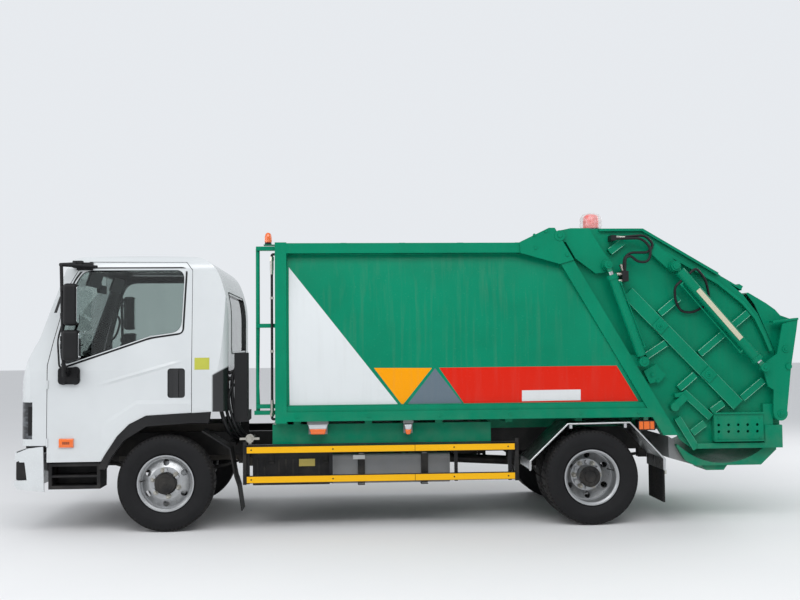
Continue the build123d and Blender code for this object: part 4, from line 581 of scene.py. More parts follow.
for x, z in FENDER_LINE[1:-1]:
    bmesh.ops.create_uvsphere(shape, u_segments=14, v_segments=8, radius=0.0087,
                              matrix=Matrix.Translation((x, 1.020, z - 0.006)))
mirrored(shape)
fit("rear_fender_beads", shape, fender, "chassis")


# Mudguards and flaps: soft black rubber sheet behind each wheel. The rear flaps are clamped by a zinc
# plated steel bar with three bolts.
flap_rubber = Finish("flap_rubber")
flap_rubber.colour(flap_rubber.mix(flap_rubber.span(flap_rubber.noise(7.0, 6.0), 0.35, 0.7),
                                   (0.007, 0.007, 0.008), (0.018, 0.017, 0.016)))
flap_rubber.rough(flap_rubber.noise(90.0), 0.5, 0.72)
flap_rubber.relief(flap_rubber.noise(220.0), 0.3, 0.0008)
flap_rubber.hold(Specular_IOR_Level=0.25)
coat(flap_rubber, "mudguards")
shape = bmesh.new()
box(shape, -4.236, -4.221, 0.600, 1.010, 0.425, 0.462)
for y in (0.66, 0.80, 0.94):
    rod(shape, (-4.236, y, 0.444), (-4.246, y, 0.444), 0.011, 6)
mirrored(shape)
fit("flap_clamp_bars", shape, zinc, "chassis", 28)


# Air brake parts: a round chamber behind each rear wheel on the axle, with its clamp ring and push
# rod bracket. Cast and pressed steel, painted black.
shape = bmesh.new()
CHAMBER_Y = 0.36
for start, end, r, r_end in (((-0.14, 0.50), (-0.24, 0.53), 0.072, 0.068),
                             ((-0.24, 0.53), (-0.262, 0.537), 0.080, 0.080),
                             ((-0.262, 0.537), (-0.36, 0.566), 0.072, 0.060),
                             ((-0.06, 0.476), (-0.15, 0.503), 0.011, 0.011)):
    rod(shape, (start[0] - WHEELBASE, CHAMBER_Y, start[1]), (end[0] - WHEELBASE, CHAMBER_Y, end[1]), r, 32,
        r_end)
box(shape, -WHEELBASE - 0.11, -WHEELBASE, CHAMBER_Y - 0.035, CHAMBER_Y + 0.035, 0.440, 0.462)
mirrored(shape)
fit("rear_brake_chambers", shape, satin_black, "chassis")


# Refuse body: welded sheet steel in gloss green, for its floor, roof, front, rear frame and ejector.
# Thin runs of rain dust show under the rails.
green = painted("body_green", (0.0004, 0.219, 0.116), (0.0008, 0.190, 0.100), (0.26, 0.40), 60.0, 0.06, 0.3,
                1.1, 0.02)
green.hold(Specular_IOR_Level=0.10, Coat_Weight=0.04, Coat_Roughness=0.05)
coat(green, "body_floor", "body_roof", "body_front", "body_rear_frame", "ejector")


# Body sides: one rolled sheet each side in the same green, with its painted field marks: a white
# triangle at the front, then an amber, a grey and a red field along the foot, and a blank bar on the red.
WHITE_FIELD = ((-1.036, 2.209), (-1.040, 1.035), (-1.960, 1.032))
AMBER_FIELD = ((-1.748, 1.353), (-2.238, 1.348), (-1.987, 1.035))
GREY_FIELD = ((-2.265, 1.345), (-2.507, 1.031), (-2.020, 1.031))
RED_FIELD = ((-2.300, 1.349), (-2.520, 1.031), (-4.020, 1.031), (-3.822, 1.352))
BLANK_BAR = ((-3.005, 1.150), (-3.005, 1.058), (-3.510, 1.060), (-3.510, 1.152))
sheet = Finish("side_green")
sheet_green = sheet.mix(sheet.span(sheet.noise(2.4, 5.0), 0.35, 0.65), (0.0004, 0.219, 0.116),
                        (0.0008, 0.190, 0.100))


def field(finish, outline):
    """1 inside a convex (x, z) outline measured from the front axle."""
    middle_x = sum(x for x, z in outline) / len(outline) + FRONT_AXLE
    middle_z = sum(z for x, z in outline) / len(outline)
    share = None
    for (x0, z0), (x1, z1) in zip(outline, outline[1:] + outline[:1]):
        across = Vector((z0 - z1, 0, x1 - x0)).normalized()
        level = across.x * (x0 + FRONT_AXLE) + across.z * z0
        if across.x * middle_x + across.z * middle_z < level:
            across, level = -across, -level
        reach = finish.add("ShaderNodeVectorMath", operation="DOT_PRODUCT")
        reach.inputs[1].default_value = across
        finish.join(finish.place, reach.inputs[0])
        side = finish.span(reach.outputs["Value"], level - 0.0006, level + 0.0006)
        share = side if share is None else finish.times(share, side)
    return share


facing_split = sheet.add("ShaderNodeSeparateXYZ")
sheet.join(sheet.facing, facing_split.inputs[0])
outward = sheet.span(sheet.times(facing_split.outputs["Y"], sheet.y), -0.01, 0.01)
marks = sheet_green
for outline, colour in ((WHITE_FIELD, (0.66, 0.69, 0.70)), (AMBER_FIELD, (0.87, 0.33, 0.0006)),
                        (GREY_FIELD, (0.125, 0.165, 0.20)), (RED_FIELD, (0.66, 0.016, 0.004)),
                        (BLANK_BAR, (0.68, 0.69, 0.70))):
    share = sheet.times(field(sheet, outline), outward)
    marks = sheet.mix(share, marks, colour)
runs = sheet.span(sheet.noise(24.0, 4.0, (1, 1, 0.05)), 0.5, 0.85, 0.0, 0.08)
sheet.colour(sheet.mix(runs, marks, (0.25, 0.23, 0.20)))
sheet.rough(sheet.noise(60.0, 2.0), 0.16, 0.28)
sheet.relief(sheet.plus(sheet.times(sheet.noise(1.6, 2.0), 6.0),
                        sheet.times(sheet.noise(70.0, 2.0), 0.06)), 0.5, 0.004)
sheet.hold(Specular_IOR_Level=0.12, Coat_Weight=0.06, Coat_Roughness=0.05)
coat(sheet, "body_sides")


# Welds and seams of the body: a bead where each side sheet meets its rails and posts, and the bolts
# of the hinge gussets. Painted over with the body.
HINGE = (-3.340, 2.465)
shape = bmesh.new()
rod(shape, (-1.020, 0.990, 1.042), (-4.090, 0.990, 1.042), 0.0045, 8)
rod(shape, (-1.020, 0.956, 2.318), (-3.300, 0.956, 2.318), 0.0045, 8)
rod(shape, (-1.0195, 0.985, 1.045), (-1.0195, 1.003, 1.600), 0.0045, 8)
rod(shape, (-1.0195, 1.003, 1.600), (-1.0195, 0.956, 2.318), 0.0045, 8)
for x, z in ((-3.12, 2.47), (-3.22, 2.50), (-3.13, 2.36), (-3.40, 2.30)):
    pin(shape, x, z, 1.044, 1.052, 0.013, 6)
pin(shape, *HINGE, 1.044, 1.050, 0.045, 32)
pin(shape, *HINGE, 1.050, 1.058, 0.022, 24, 0.019)
for x in (-1.10, -1.70, -2.30, -2.90, -3.50, -4.00):
    pin(shape, x, 0.950, 1.030, 1.036, 0.011, 6)
mirrored(shape)
fit("body_welds_and_bolts", shape, green, "chassis", 28)


# Standing hose of the body: black two-wire hydraulic hose with crimped silver ferrules and nuts at
# both ends, tied to the pipe hoop by two clips.
hose_rubber = plain("hose_rubber", (0.006, 0.006, 0.007), (0.013, 0.013, 0.014), (20.0, 4.0), (120.0,),
                    (0.38, 0.55), (500.0, 2.0, 0.3, 0.0004), Specular_IOR_Level=0.3)
coat(hose_rubber, "body_hose", "tailgate_hoses", "bucket_hoses")
shape = bmesh.new()
HOSE_X, HOSE_Y = -0.892, 0.950
for low, high, r in ((2.185, 2.265, 0.0155), (2.265, 2.300, 0.020), (2.150, 2.185, 0.0135),
                     (0.985, 1.060, 0.0155), (0.955, 0.985, 0.020), (1.060, 1.090, 0.0135)):
    rod(shape, (HOSE_X, HOSE_Y, low), (HOSE_X, HOSE_Y, high), r, 6 if r == 0.020 else 20)
for z in (1.50, 1.95):
    box(shape, HOSE_X - 0.015, HOSE_X + 0.015, 0.938, 0.963, z - 0.010, z + 0.010)
fit("body_hose_fittings", shape, zinc, "chassis", 28)


# Second pipe of the hoop: a thin green steel pipe from the roof down the front of the body, with a
# bend over the top.
def bent_bar(name, points, r, finish, body, bend=3):
    """A round bar or pipe on a smooth line through control points."""
    line = bpy.data.curves.new(name, "CURVE")
    line.dimensions = "3D"
    run = line.splines.new("NURBS")
    run.points.add(len(points) - 1)
    for point, place in zip(run.points, points):
        point.co = (*place, 1)
    run.order_u = bend
    run.use_endpoint_u = True
    run.resolution_u = 6
    line.bevel_depth = r
    line.bevel_resolution = 3
    line.use_fill_caps = True
    holder = bpy.data.objects.new(name, line)
    scene.collection.objects.link(holder)
    graph = bpy.context.evaluated_depsgraph_get()
    mesh = bpy.data.meshes.new_from_object(holder.evaluated_get(graph))
    bpy.data.objects.remove(holder)
    shape = bmesh.new()
    shape.from_mesh(mesh)
    return fit(name, shape, finish, body, 40)


bent_bar("roof_pipe", ((-0.770, 0.872, 1.02), (-0.770, 0.872, 2.30), (-0.770, 0.872, 2.37),
                       (-0.843, 0.872, 2.385), (-0.913, 0.872, 2.385)), 0.009, green, "chassis")


# Body lamps: two side markers under each low rail, a clear lens over an amber one in a grey holder,
# and the amber lamp of the rear cluster with its black bezel.
lens_amber = painted("amber_lens", (0.86, 0.16, 0.006), (0.74, 0.12, 0.004), (0.06, 0.14), 90.0, 0.15, 0.0)
lens_amber.hold(Coat_Weight=0.8, Coat_Roughness=0.04)
lens_clear = painted("clear_lens", (0.62, 0.64, 0.66), (0.5, 0.52, 0.54), (0.05, 0.12), 140.0, 0.3, 0.0)
lens_clear.hold(Coat_Weight=1.0, Coat_Roughness=0.03)
cluster = Finish("rear_cluster")
holder = cluster.span(cluster.z, 0.8845, 0.8855)
amber = cluster.mix(cluster.noise(2.4, 5.0), (0.86, 0.16, 0.006), (0.74, 0.12, 0.004))
cluster.colour(cluster.mix(holder, amber, (0.0004, 0.205, 0.108)))
cluster.rough(cluster.noise(90.0), 0.08, 0.18)
cluster.hold(Coat_Weight=0.6, Coat_Roughness=0.05)
coat(cluster, "tail_lamps")
MARKERS_X = (-1.2755, -2.0345)
for name, x, wide, low, high, lens in (
        ("front_marker_lamps", MARKERS_X[0], 0.0835, 0.845, 0.887, lens_clear),
        ("front_marker_feet", MARKERS_X[0], 0.070, 0.801, 0.847, lens_amber),
        ("middle_marker_lamps", MARKERS_X[1], 0.0335, 0.832, 0.876, lens_clear),
        ("middle_marker_feet", MARKERS_X[1], 0.028, 0.791, 0.834, lens_amber)):
    shape = bmesh.new()
    box(shape, x - wide, x + wide, 0.955, 1.000, low, high)
    for vert in shape.verts:
        if vert.co.z < low + 0.01:
            vert.co.x += math.copysign(0.012, x - vert.co.x)
    bevelled(shape, 0.008)
    mirrored(shape)
    fit(name, shape, lens, "chassis")
shape = bmesh.new()
for x, wide in zip(MARKERS_X, (0.088, 0.042)):
    box(shape, x - wide, x + wide, 0.940, 1.004, 0.886, 0.9125)
    box(shape, x - wide * 0.9, x + wide * 0.9, 0.930, 0.956, 0.800, 0.9125)
mirrored(shape)
fit("marker_lamp_holders", shape, tank_grey, "chassis")
shape = bmesh.new()
for x0, x1, z0, z1 in ((-4.146, -3.998, 0.876, 0.884), (-4.146, -3.998, 0.800, 0.8075),
                       (-4.146, -4.138, 0.80, 0.884), (-4.006, -3.998, 0.80, 0.884)):
    box(shape, x0, x1, 0.928, 1.014, z0, z1)
for x in (-4.10, -4.045):
    box(shape, x - 0.002, x + 0.002, 1.0095, 1.013, 0.808, 0.876)
mirrored(shape)
fit("rear_cluster_bezels", shape, black_plastic, "chassis")


# Bracket with a big wing nut, on the chassis rail behind the cab. It is zinc plated, with a bar across
# to the frame.
CLAMP_X, CLAMP_Z = -0.705, 0.772
shape = bmesh.new()
pin(shape, CLAMP_X, CLAMP_Z, 0.935, 0.962, 0.036, 32)
pin(shape, CLAMP_X, CLAMP_Z, 0.962, 0.985, 0.020, 6)
for wing in (-0.055, 0.055):
    box(shape, CLAMP_X + wing - 0.027, CLAMP_X + wing + 0.027, 0.966, 0.978, CLAMP_Z - 0.009, CLAMP_Z + 0.009)
box(shape, CLAMP_X - 0.012, CLAMP_X + 0.012, 0.930, 0.945, 0.650, CLAMP_Z)
pin(shape, CLAMP_X, 0.745, 0.45, 0.94, 0.014, 16)
fit("wing_nut_bracket", shape, zinc, "chassis", 28)


# Front beacon: an amber dome on a black screwed base, on the body's front corner. It replaces the
# plain solid.
BEACON_X, BEACON_Y = -0.857, 0.880
RIB_CIRCLE = 0.0285
DOME = ((2.428, 0.0), (2.428, 0.029), (2.462, 0.0295), (2.480, 0.0285), (2.496, 0.0245), (2.508, 0.0170),
        (2.5145, 0.0))


def upright(shape, section, x, y, steps, cuts=0):
    """Turns a section of (z, radius) points round an upright line at x and y."""
    spun(shape, [(x + r, y, z) for z, r in section], (x, y, 0), (0, 0, 1), steps, cuts=cuts)


shape = bmesh.new()
upright(shape, DOME, BEACON_X, BEACON_Y, 40)
for index in range(20):
    turn = math.radians(18 * index)
    rib_x, rib_y = BEACON_X + RIB_CIRCLE * math.cos(turn), BEACON_Y + RIB_CIRCLE * math.sin(turn)
    rod(shape, (rib_x, rib_y, 2.432), (rib_x, rib_y, 2.470), 0.0022, 6)
beacon = fit("front_beacon_dome", shape, lens_amber, "chassis", 50)
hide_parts("front_beacon")
shape = bmesh.new()
rod(shape, (BEACON_X, BEACON_Y, 2.4078), (BEACON_X, BEACON_Y, 2.420), 0.030, 32)
rod(shape, (BEACON_X, BEACON_Y, 2.420), (BEACON_X, BEACON_Y, 2.429), 0.0265, 32)
fit("front_beacon_base", shape, satin_black, "chassis")


# Cab shell, doors and bumper: pressed steel sprayed in pearl white, with the creases of the pressing
# in the door skins. Inside, along every shut edge, in the screen pillar's slot and below the rear corners
# the sheet is painted black as shade.
CAB_MIDDLE = (FRONT_AXLE + 0.33, 0.0, 1.55)
# Lines on the cab's side, as slope, x from the front axle, and height: the rear corner painted black as
# shade, the slot in the screen pillar painted black as shade, the door's upper crease and the crease that
# follows the wheel arch.
CORNER_SLOPE, CORNER_X, CORNER_Z = 0.55, -0.393, 1.30
PILLAR_SLOPE, PILLAR_SLOT = 0.311, (1.472, 1.496)
CREASE_SLOPE, CREASE_X, CREASE_Z = 0.277, 0.552, 1.232
ARCH_SLOPE, ARCH_X, ARCH_Z, ARCH_TOP = 0.645, 0.295, 1.047, 1.086


def pearl_white(name, door=False):
    finish = Finish(name)
    tint = finish.mix(finish.span(finish.noise(1.8, 4.0), 0.35, 0.65), (0.625, 0.650, 0.660),
                      (0.585, 0.610, 0.622))
    splash = finish.times(finish.span(finish.z, 0.42, 1.0, 1.0, 0.0),
                          finish.span(finish.noise(9.0, 6.0), 0.4, 0.75, 0.0, 0.14))
    tint = finish.mix(splash, tint, (0.36, 0.33, 0.29))
    if door:
        split = finish.add("ShaderNodeSeparateXYZ")
        finish.join(finish.facing, split.inputs[0])
        outside = finish.span(finish.times(split.outputs["Y"], finish.y), 0.15, 0.3)
        sunk = finish.span(finish.math("ABSOLUTE", finish.y), 0.9470, 0.9476, 1.0, 0.0)
        pocket = finish.times(finish.within(finish.x, FRONT_AXLE - 0.168, FRONT_AXLE - 0.019),
                              finish.within(finish.z, 1.116, 1.367))
        outside = finish.span(finish.minus(outside, finish.times(pocket, sunk)), 0.0, 1.0)
    else:
        arm = finish.add("ShaderNodeVectorMath", operation="SUBTRACT")
        arm.inputs[1].default_value = CAB_MIDDLE
        turn = finish.add("ShaderNodeVectorMath", operation="DOT_PRODUCT")
        finish.join(finish.place, arm.inputs[0])
        finish.join(finish.facing, turn.inputs[0])
        finish.join(arm.outputs[0], turn.inputs[1])
        outside = finish.span(turn.outputs["Value"], -0.02, 0.02)
        # Painted shade: below a sloping line at the rear corner and in the screen pillar's slot, both
        # recesses, the sheet is painted near-black.
        slope = finish.plus(finish.z, finish.times(finish.x, CORNER_SLOPE))
        edge = CORNER_Z + CORNER_SLOPE * (FRONT_AXLE + CORNER_X)
        corner_shade = finish.times(finish.span(slope, edge, edge + 0.015, 1.0, 0.0),
                                  finish.span(finish.x, FRONT_AXLE - 0.400, FRONT_AXLE - 0.385, 1.0, 0.0))
        pillar = finish.plus(finish.x, finish.times(finish.z, PILLAR_SLOPE))
        slot = finish.times(finish.within(pillar, FRONT_AXLE + PILLAR_SLOT[0], FRONT_AXLE + PILLAR_SLOT[1],
                                          0.002), finish.within(finish.z, 1.838, 1.976, 0.002))
        outside = finish.span(finish.minus(outside, finish.plus(corner_shade, slot)), 0.0, 1.0)
    # The sheet is painted near-black wherever the outside mask is 0: painted shade inside the shell and along
    # the shut edges, and on the doors the sunk handle pocket too.
    finish.colour(finish.mix(outside, (0.013, 0.013, 0.014), tint))
    peel = finish.noise(95.0, 2.0)
    finish.rough(peel, 0.16, 0.27)
    height = finish.times(peel, 0.02)
    if door:
        upper = finish.plus(finish.z, finish.times(finish.x, CREASE_SLOPE))
        upper = finish.math("ABSOLUTE",
                            finish.minus(upper, CREASE_Z + CREASE_SLOPE * (FRONT_AXLE + CREASE_X)))
        upper = finish.times(finish.span(upper, 0.0, 0.022, 1.0, 0.0),
                             finish.within(finish.x, FRONT_AXLE - 0.10, FRONT_AXLE + 0.50, 0.06))
        slant = finish.plus(finish.times(finish.x, -ARCH_SLOPE), ARCH_Z + ARCH_SLOPE * (FRONT_AXLE + ARCH_X))
        arch = finish.math("MINIMUM", slant, ARCH_TOP)
        arch = finish.span(finish.minus(finish.z, arch), -0.016, 0.016, 1.0, 0.0)
        arch = finish.times(arch, finish.span(finish.x, FRONT_AXLE + 0.40, FRONT_AXLE + 0.52, 1.0, 0.0))
        height = finish.plus(height, finish.plus(upper, arch))
    finish.relief(height, 0.9, 0.008)
    return finish.hold(Coat_Weight=0.5, Coat_Roughness=0.06)


coat(pearl_white("pearl_white"), "cab_roof", "cab_back", "cab_front")
door_white = pearl_white("door_pearl_white", door=True)
coat(door_white, "door_left", "door_right")
bumper_white = painted("bumper_white", (0.625, 0.650, 0.660), (0.585, 0.610, 0.622), (0.18, 0.3), 95.0, 0.03,
                       0.2, 0.7)
coat(bumper_white, "front_bumper")
coat(black_plastic, "cab_steps", "dashboard", "mirror_left", "mirror_right")


# Cab windows: tinted toughened glass held in extruded black rubber. A white pressed frame rounds
# off the corners of each door opening round the rubber.
tinted = plain("cab_glass", (0.60, 0.67, 0.65), (0.55, 0.62, 0.60), (3.0,), (30.0,), (0.0, 0.03),
               Transmission_Weight=1.0, IOR=1.45)
coat(tinted, "cab_glass", "door_glass_left", "door_glass_right")
DOOR_WINDOW = ((0.852, 1.394), (0.870, 1.610), (0.750, 2.090), (0.676, 2.195), (-0.154, 2.195),
               (-0.129, 1.674), (0.128, 1.638))
SCREEN = ((-0.80, 1.45), (0.80, 1.45), (0.80, 1.606), (0.80, 2.225), (-0.80, 2.225), (-0.80, 1.606))
BACK_WINDOW = ((-0.62, 1.50), (0.62, 1.50), (0.62, 1.78), (0.62, 1.90), (0.62, 2.00), (-0.62, 2.00),
               (-0.62, 1.90), (-0.62, 1.78))


def rounded(outline, grow, reach, steps=6):
    """A flat outline grown outwards, its corners rounded off over a reach along each edge."""
    area = sum(a0 * b1 - a1 * b0 for (a0, b0), (a1, b1) in zip(outline, outline[1:] + outline[:1]))
    out = math.copysign(grow, area)
    points = [Vector(point) for point in outline]
    grown = []
    for before, here, after in zip(points[-1:] + points[:-1], points, points[1:] + points[:1]):
        first, second = (here - before).normalized(), (after - here).normalized()
        across = Vector((first.y + second.y, -first.x - second.x))
        grown.append(here + across * out / (1 + first.dot(second)))
    line = []
    for before, here, after in zip(grown[-1:] + grown[:-1], grown, grown[1:] + grown[:1]):
        start = here + (before - here).normalized() * min(reach, (before - here).length * 0.45)
        end = here + (after - here).normalized() * min(reach, (after - here).length * 0.45)
        for step in range(steps + 1):
            share = step / steps
            line.append(start.lerp(here, share).lerp(here.lerp(end, share), share))
    return line


def ring(shape, outer, inner, spot, deep):
    """A band between two outlines laid on a surface by spot, and deepened by a vector."""
    edges = []
    for line in (outer, inner):
        verts = [shape.verts.new(spot(point)) for point in line]
        edges += [shape.edges.new(pair) for pair in zip(verts, verts[1:] + verts[:1])]
    faces = bmesh.ops.bridge_loops(shape, edges=edges)["faces"]
    grown = bmesh.ops.extrude_face_region(shape, geom=faces, use_keep_orig=True)["geom"]
    bmesh.ops.translate(shape, vec=deep,
                        verts=[part for part in grown if isinstance(part, bmesh.types.BMVert)])


DOOR_Y, SILL_Z, DOOR_LEAN = 0.950, 1.350, 0.0723


def door_side(side, lift):
    """Lays an outline on the door's outer skin, which leans in above the sill."""
    def spot(point):
        return (point.x, side * (DOOR_Y - max(0.0, point.y - SILL_Z) * DOOR_LEAN + lift), point.y)
    return spot


SCREEN_ARC_X, SCREEN_ARC_Z, SCREEN_ARC_R = 0.2653, 1.099, 0.9267
SCREEN_BEND_X, SCREEN_BEND_Z, SCREEN_LEAN = 1.041, 1.606, 0.351
BACK_ARC_X, BACK_ARC_Z, BACK_ARC_R = 0.4344, 1.78, 0.9534
RUBBER_LIFT = 0.003


def screen_spot(point):
    """The nose is an arc up to the bend, and a straight slope over it."""
    if point.y < SCREEN_BEND_Z:
        lean = SCREEN_ARC_X + math.sqrt(SCREEN_ARC_R ** 2 - (point.y - SCREEN_ARC_Z) ** 2)
    else:
        lean = SCREEN_BEND_X - (point.y - SCREEN_BEND_Z) * SCREEN_LEAN
    return (lean + RUBBER_LIFT, point.x, point.y)


def back_spot(point):
    lean = BACK_ARC_X - math.sqrt(BACK_ARC_R ** 2 - max(0.0, point.y - BACK_ARC_Z) ** 2)
    return (lean - RUBBER_LIFT, point.x, point.y)


seal_rubber = painted("seal_rubber", (0.006, 0.006, 0.007), (0.011, 0.011, 0.011), (0.38, 0.55), 260.0, 0.2,
                      0.05, Specular_IOR_Level=0.25)
for side, word in SIDES:
    shape = bmesh.new()
    ring(shape, rounded(DOOR_WINDOW, 0.010, 0.030), rounded(DOOR_WINDOW, -0.002, 0.085),
         door_side(side, 0.0015), (0, side * -0.012, 0))
    fit(f"door_window_frame_{word}", shape, door_white, f"{word}_door")
    shape = bmesh.new()
    ring(shape, rounded(DOOR_WINDOW, 0.0, 0.080), rounded(DOOR_WINDOW, -0.026, 0.055),
         door_side(side, 0.0005), (0, side * -0.022, 0))
    fit(f"door_window_rubber_{word}", shape, seal_rubber, f"{word}_door")
shape = bmesh.new()
ring(shape, rounded(SCREEN, 0.014, 0.09), rounded(SCREEN, -0.030, 0.07), screen_spot, (-0.022, 0, 0))
ring(shape, rounded(BACK_WINDOW, 0.014, 0.08), rounded(BACK_WINDOW, -0.022, 0.06), back_spot, (0.022, 0, 0))
fit("screen_and_back_window_rubber", shape, seal_rubber, "cab")


# Door fittings: the ribbed amber side marker with its darker stripe, and the black moulded foot that
# carries the mirror tube.
marker_stripe = painted("marker_stripe", (0.30, 0.05, 0.004), (0.22, 0.035, 0.003), (0.1, 0.2))
for side, word in SIDES:
    shape = bmesh.new()
    box(shape, 0.744, 0.868, side * 0.9475, side * 0.9665, 0.716, 0.794)
    bevelled(shape, 0.010)
    for step in range(7):
        x = 0.762 + step * 0.015
        rod(shape, (x, side * 0.9662, 0.728), (x, side * 0.9662, 0.782), 0.0016, 6)
    fit(f"door_marker_{word}", shape, lens_amber, f"{word}_door")
    shape = bmesh.new()
    box(shape, 0.776, 0.838, side * 0.9660, side * 0.9672, 0.745, 0.766)
    fit(f"door_marker_stripe_{word}", shape, marker_stripe, f"{word}_door")
    shape = bmesh.new()
    for z, r in ((1.350, 0.038), (1.276, 0.040)):
        for x in (0.735, 0.835):
            pin(shape, x, z, side * 0.949, side * 0.988, r, 28, r - 0.008)
    box(shape, 0.712, 0.858, side * 0.949, side * 0.986, 1.262, 1.362)
    rod(shape, (0.790, side * 0.975, 1.320), (0.800, side * 1.085, 1.412), 0.021, 20, 0.018)
    for z in (1.345, 1.285):
        pin(shape, 0.735, z, side * 0.986, side * 0.991, 0.009, 6)
    fit(f"mirror_foot_{word}", shape, black_plastic, f"{word}_door")


# Mirrors: silvered convex glass set in the rear of each black shell, and the clamps that hold the
# shells on the tube.
mirror_silver = plain("mirror_silver", (0.80, 0.82, 0.83), (0.76, 0.78, 0.79), (4.0,), (40.0,), (0.01, 0.04),
                      Metallic=1.0)
for side, word in SIDES:
    shape = bmesh.new()
    for low, high, x in ((1.748, 2.048, 0.6735), (1.460, 1.671, 0.6575)):
        box(shape, x, x + 0.006, side * 1.082, side * 1.158, low, high)
    corners = [edge for edge in shape.edges if abs(edge.verts[0].co.x - edge.verts[1].co.x) > 0.004]
    bevelled(shape, 0.022, 5, corners)
    fit(f"mirror_glass_{word}", shape, mirror_silver, f"{word}_door")
    shape = bmesh.new()
    for z in (1.535, 1.600, 1.790, 2.010):
        rod(shape, (0.800, side * 1.100, z), (0.802, side * 1.100, z + 0.042), 0.021, 20)
        box(shape, 0.765, 0.800, side * 1.088, side * 1.112, z + 0.004, z + 0.038)
    box(shape, 0.610, 0.745, side * 0.862, side * 0.905, 2.196, 2.262)
    box(shape, 0.690, 0.770, side * 0.880, side * 0.935, 2.215, 2.275)
    bevelled(shape, 0.004, 2)
    rod(shape, (0.820, side * 1.108, 2.226), (0.735, side * 0.915, 2.248), 0.0155, 16)
    fit(f"mirror_clamps_{word}", shape, black_plastic, f"{word}_door")


# Trim of the cab's outside: the roof's small marker lamp, the air slots in the pillars, a blank
# service sticker, the black strip between cab and bumper, and the screen wipers.
shape = bmesh.new()
box(shape, 0.625, 0.722, 0.560, 0.640, 2.298, 2.322)
bevelled(shape, 0.009)
mirrored(shape)
fit("roof_marker_lamps", shape, black_plastic, "cab")
shape = bmesh.new()
box(shape, -0.4215, -0.3865, 0.9330, 0.9360, 1.570, 1.899)
for step in range(14):
    box(shape, -0.4190, -0.3890, 0.9355, 0.9380, 1.590 + step * 0.022, 1.597 + step * 0.022)
for vert in shape.verts:
    vert.co.y -= (vert.co.z - SILL_Z) * DOOR_LEAN
mirrored(shape)
fit("pillar_air_slots", shape, black_plastic, "cab")
sticker_yellow = painted("sticker_yellow", (0.46, 0.47, 0.055), (0.41, 0.42, 0.048), (0.3, 0.42), 50.0, 0.03,
                         0.1)
shape = bmesh.new()
box(shape, -0.368, -0.244, 0.9480, 0.9508, 1.352, 1.452)
for vert in shape.verts:
    vert.co.y -= (vert.co.z - SILL_Z) * DOOR_LEAN
fit("pillar_sticker", shape, sticker_yellow, "cab")
shape = bmesh.new()
box(shape, 0.985, 1.140, -0.930, 0.930, 0.716, 0.7325)
fit("bumper_top_strip", shape, seal_rubber, "chassis")
shape = bmesh.new()
for y in (0.62, -0.12):
    foot = Vector((1.123, y, 1.44))
    tip = Vector((1.094, y - 0.30, 1.535))
    rod(shape, foot - Vector((0.02, 0, 0)), foot + Vector((0.012, 0, 0)), 0.016, 20)
    rod(shape, foot + Vector((0.008, 0, 0)), tip, 0.0065, 12, 0.005)
    rod(shape, tip + Vector((0.012, 0.26, -0.038)), tip + Vector((0.008, -0.27, 0.040)), 0.0055, 8)
fit("screen_wipers", shape, satin_black, "cab")


# Headlamps: a smoked one-piece lens with two chromed bowls and their clear lenses, and a black cap at
# the outer end. The bumper's dark recess below holds a round fog lamp each side.
lamp_black = Finish("smoked_lens")
# Painted reflection: lighter grey-blue patches in the smoked lens stand in for light off its facets.
facet_reflections = lamp_black.span(lamp_black.noise(14.0, 2.0, (1, 0.4, 2.2)), 0.45, 0.62)
lamp_black.colour(lamp_black.mix(facet_reflections, (0.010, 0.011, 0.013), (0.075, 0.082, 0.09)))
lamp_black.rough(lamp_black.noise(25.0), 0.04, 0.10)
lamp_black.hold(Coat_Weight=1.0, Coat_Roughness=0.02)
coat(lamp_black, "headlamps")
chrome = plain("chrome", (0.66, 0.67, 0.69), (0.58, 0.59, 0.61), (5.0, 4.0), (60.0,), (0.05, 0.14),
               (300.0, 2.0, 0.04, 0.0004), Metallic=1.0)


def bowl(shape, x, y, z, section, steps=40):
    """A round part facing forward, turned from (depth, radius) points about a line along the truck."""
    spun(shape, [(x + depth, y, z + r) for depth, r in section], (x, y, z), (1, 0, 0), steps)


shape = bmesh.new()
for y, z, r in ((0.705, 1.005, 0.062), (0.705, 0.872, 0.055)):
    bowl(shape, 1.1915, y, z, ((0.0, r + 0.008), (0.006, r + 0.006), (0.007, r), (0.0015, r - 0.006),
                               (0.0005, 0.0)))
mirrored(shape)
fit("headlamp_bowls", shape, chrome, "cab")
shape = bmesh.new()
for y, z, r in ((0.705, 1.005, 0.036), (0.705, 0.872, 0.030)):
    bowl(shape, 1.1935, y, z, ((0.0, r), (0.005, r * 0.96), (0.012, r * 0.72), (0.016, r * 0.36),
                               (0.0175, 0.0)))
mirrored(shape)
fit("headlamp_lenses", shape, lens_clear, "cab")
shape = bmesh.new()
box(shape, 1.085, 1.118, 0.9490, 0.9515, 0.820, 1.060)
mirrored(shape)
fit("headlamp_end_caps", shape, black_plastic, "cab")
shape = bmesh.new()
for side in (1, -1):
    panel = box(shape, 1.140, 1.215, side * 0.790 - 0.161, side * 0.790 + 0.161, 0.456, 0.608)
    for vert in panel:
        if vert.co.z < 0.5 and vert.co.x < 1.16:
            vert.co.x -= 0.020
bevelled(shape, 0.010)
fit("fog_lamp_panels", shape, black_plastic, "chassis")
shape = bmesh.new()
bowl(shape, 1.2135, 0.735, 0.535, ((0.0, 0.052), (0.007, 0.050), (0.008, 0.043), (0.002, 0.040),
                                   (0.001, 0.0)))
mirrored(shape)
fit("fog_lamp_rings", shape, chrome, "chassis")
shape = bmesh.new()
bowl(shape, 1.2155, 0.735, 0.535, ((0.0, 0.039), (0.004, 0.036), (0.007, 0.020), (0.008, 0.0)))
mirrored(shape)
fit("fog_lamp_lenses", shape, lens_clear, "chassis")


